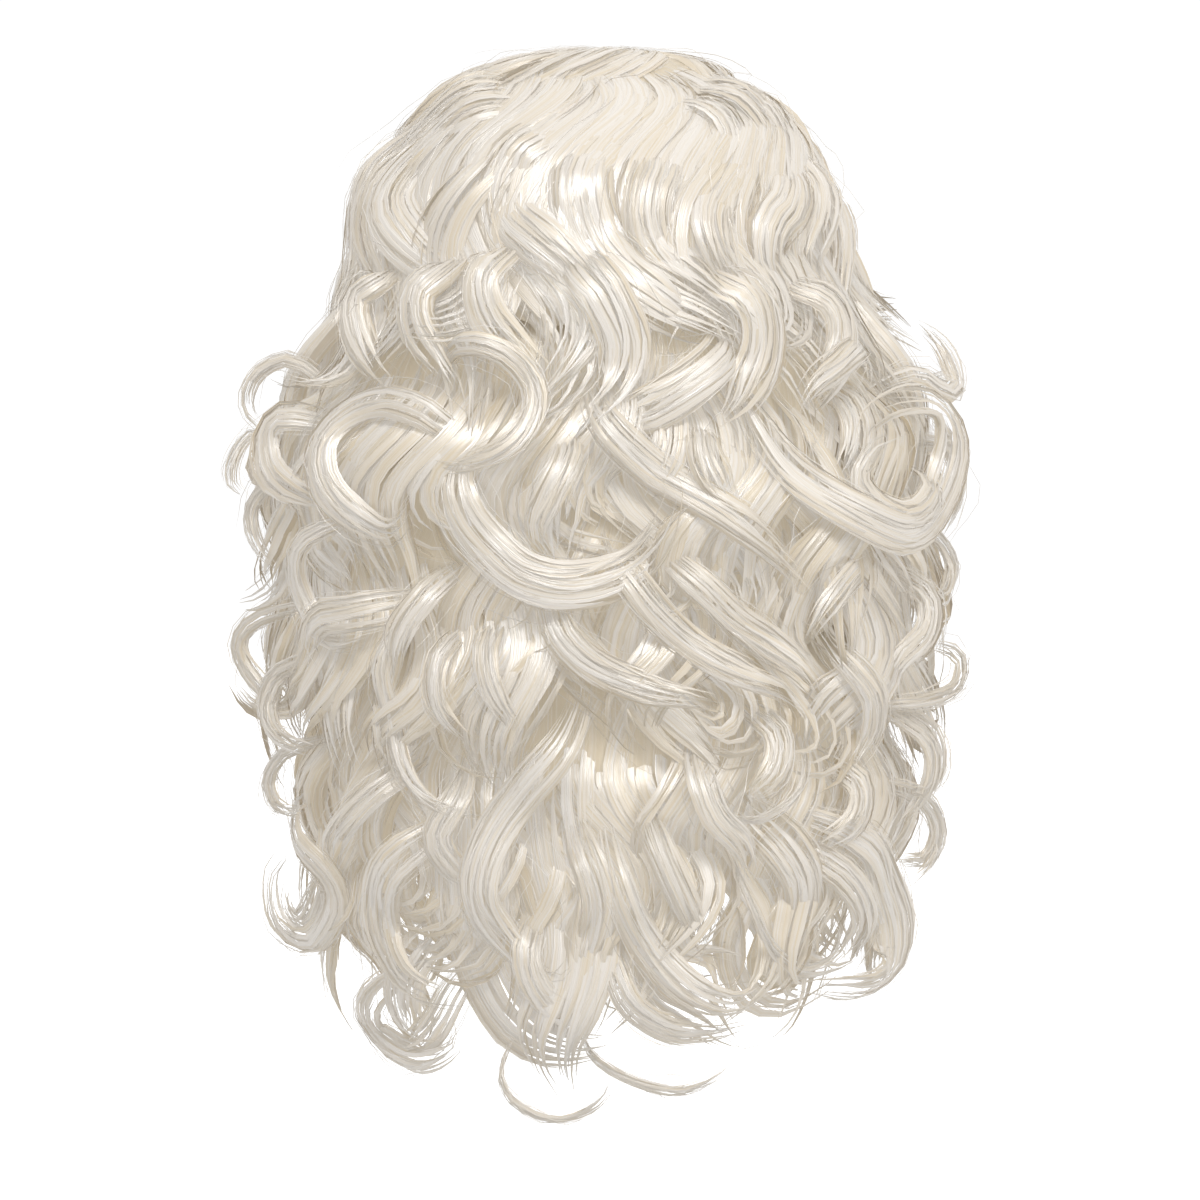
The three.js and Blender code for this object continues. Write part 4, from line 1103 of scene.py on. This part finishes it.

# Flyaways: single fine hairs that have worked loose from every tier and stand off it.
# They are the same fibre, too thin and few to hide what lies under them.
# Flyaways keep the strands' painted highlight.
FLYAWAY_SIZES = dict(
    STRAND_SIZES, Around=0.7, Nearest=1.0, Farthest=1.7, Twist=1.5, Thinnest=0.00013, Wander=0.03,
    Frizz=0.02, Ragged=0.2, Shortest=0.6,
)
FLYAWAY_TIERS = (
    ("crown", crown_all + crown_drawn, CROWN_LAYER),
    ("upper", upper_guides + upper_fill + upper_drawn, UPPER_LAYER),
    ("middle", middle_guides + middle_fill + middle_drawn, MIDDLE_LAYER),
    ("lower", lower_guides + lower_fill + lower_drawn, LOWER_LAYER),
)
for seed, (tier, guides, layer) in enumerate(FLYAWAY_TIERS, 61):
    lines = guide_mesh(guides, layer, STRAND_STEP)
    flyaways = comb(tier + "_flyaways", lines, Amount=3, Seed=seed, **FLYAWAY_SIZES)
    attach(flyaways, "root")

# Studio: a plain pale floor below the wig, even white light all round, and soft lamps above the camera,
# two of which light only the shine of the fibre. The camera stands level behind the wig, far enough off
# to flatten it a little. Sizes here are in metres, apart from those read from the photograph.
FLOOR_HEIGHT = -0.50
FLOOR_HALF = 30
FLOOR_COLOUR = (0.97, 0.97, 0.97, 1)
FLOOR_ROUGHNESS = 0.9
FLOOR_GLOW = 0.3
WORLD_FRONT = 0.78
WORLD_BACK = 1.05
WORLD_SLOPE = 1.6
WORLD_BEHIND = 0.1
WORLD_ABOVE = -0.7
# Lamp, its place and aim, its width and height, its power, and whether it lights only the shine.
LAMPS = (
    ("strip above", (0, 1.6, 1.2), (0, 0, -0.2), 1.3, 0.3, 16, False),
    ("shine strip", (0.2, 1.8, 0.9), (0, 0, -0.2), 1.6, 0.25, 19, True),
    ("sheen box", (1.1, 1.3, 1.5), (0, 0, -0.1), 0.8, 0.5, 13, True),
    ("side box", (-1.3, 1.4, 0.4), (0, 0, -0.2), 0.5, 0.7, 7, False),
)
PHOTO_PIXELS = 1200
PHOTO_MM_PER_PIXEL = 0.42
PHOTO_MIDDLE = (600, 600)
PHOTO_HEAD_MIDDLE = 603
PHOTO_TOP = 40
HAIR_TOP = 26
CAMERA_DISTANCE = 2.2
CAMERA_SENSOR = 36

floor_mesh = bpy.data.meshes.new("floor")
corners = ((-1, -1), (1, -1), (1, 1), (-1, 1))
corners = [(x * FLOOR_HALF, y * FLOOR_HALF, FLOOR_HEIGHT) for x, y in corners]
floor_mesh.from_pydata(corners, [], [(0, 1, 2, 3)])
floor = place_piece("floor", floor_mesh)
pale = bpy.data.materials.new("pale floor")
pale.use_nodes = True
paint = pale.node_tree.nodes["Principled BSDF"].inputs
paint["Base Color"].default_value = FLOOR_COLOUR
paint["Roughness"].default_value = FLOOR_ROUGHNESS
paint["Emission Color"].default_value = (1, 1, 1, 1)
paint["Emission Strength"].default_value = FLOOR_GLOW
floor_mesh.materials.append(pale)
floor.visible_diffuse = False

world = bpy.data.worlds.new("studio")
world.use_nodes = True
sky = Wire(world.node_tree)
way = sky.node("ShaderNodeTexCoord", output="Generated")
behind = way.part("Y") * -WORLD_SLOPE + WORLD_BEHIND
above = way.part("Z") * WORLD_SLOPE + WORLD_ABOVE
light = WORLD_FRONT + behind.most(above).most(0.0).least(1.0) * (WORLD_BACK - WORLD_FRONT)
glow = world.node_tree.nodes["Background"]
world.node_tree.links.new(light.socket, glow.inputs["Strength"])
glow.inputs["Color"].default_value = (1, 1, 1, 1)
bpy.context.scene.world = world
bpy.context.scene.view_settings.view_transform = "Standard"


def soft_lamp(name, place, aim, width, height, power, shine_only):
    """A rectangular soft box on a stand, turned so that its own -Z points at its aim."""
    lamp = bpy.data.lights.new(name, "AREA")
    lamp.shape = "RECTANGLE"
    lamp.size = width
    lamp.size_y = height
    lamp.energy = power
    box = bpy.data.objects.new(name, lamp)
    bpy.context.scene.collection.objects.link(box)
    box.location = place
    way = [end - start for start, end in zip(place, aim)]
    box.rotation_euler = (math.atan2(math.hypot(way[0], way[1]), -way[2]), 0, math.atan2(-way[0], way[1]))
    box.visible_diffuse = not shine_only


for lamp in LAMPS:
    soft_lamp(*lamp)

middle_x = -(PHOTO_MIDDLE[0] - PHOTO_HEAD_MIDDLE) * PHOTO_MM_PER_PIXEL * MM
middle_z = (HAIR_TOP - (PHOTO_MIDDLE[1] - PHOTO_TOP) * PHOTO_MM_PER_PIXEL) * MM
camera = bpy.data.cameras.new("camera")
camera.sensor_width = CAMERA_SENSOR
camera.lens = CAMERA_SENSOR * CAMERA_DISTANCE / (PHOTO_PIXELS * PHOTO_MM_PER_PIXEL * MM)
stand = bpy.data.objects.new("camera", camera)
bpy.context.scene.collection.objects.link(stand)
stand.location = (middle_x, CAMERA_DISTANCE, middle_z)
stand.rotation_euler = (math.pi / 2, 0, math.pi)
bpy.context.scene.camera = stand

bpy.context.view_layer.update()
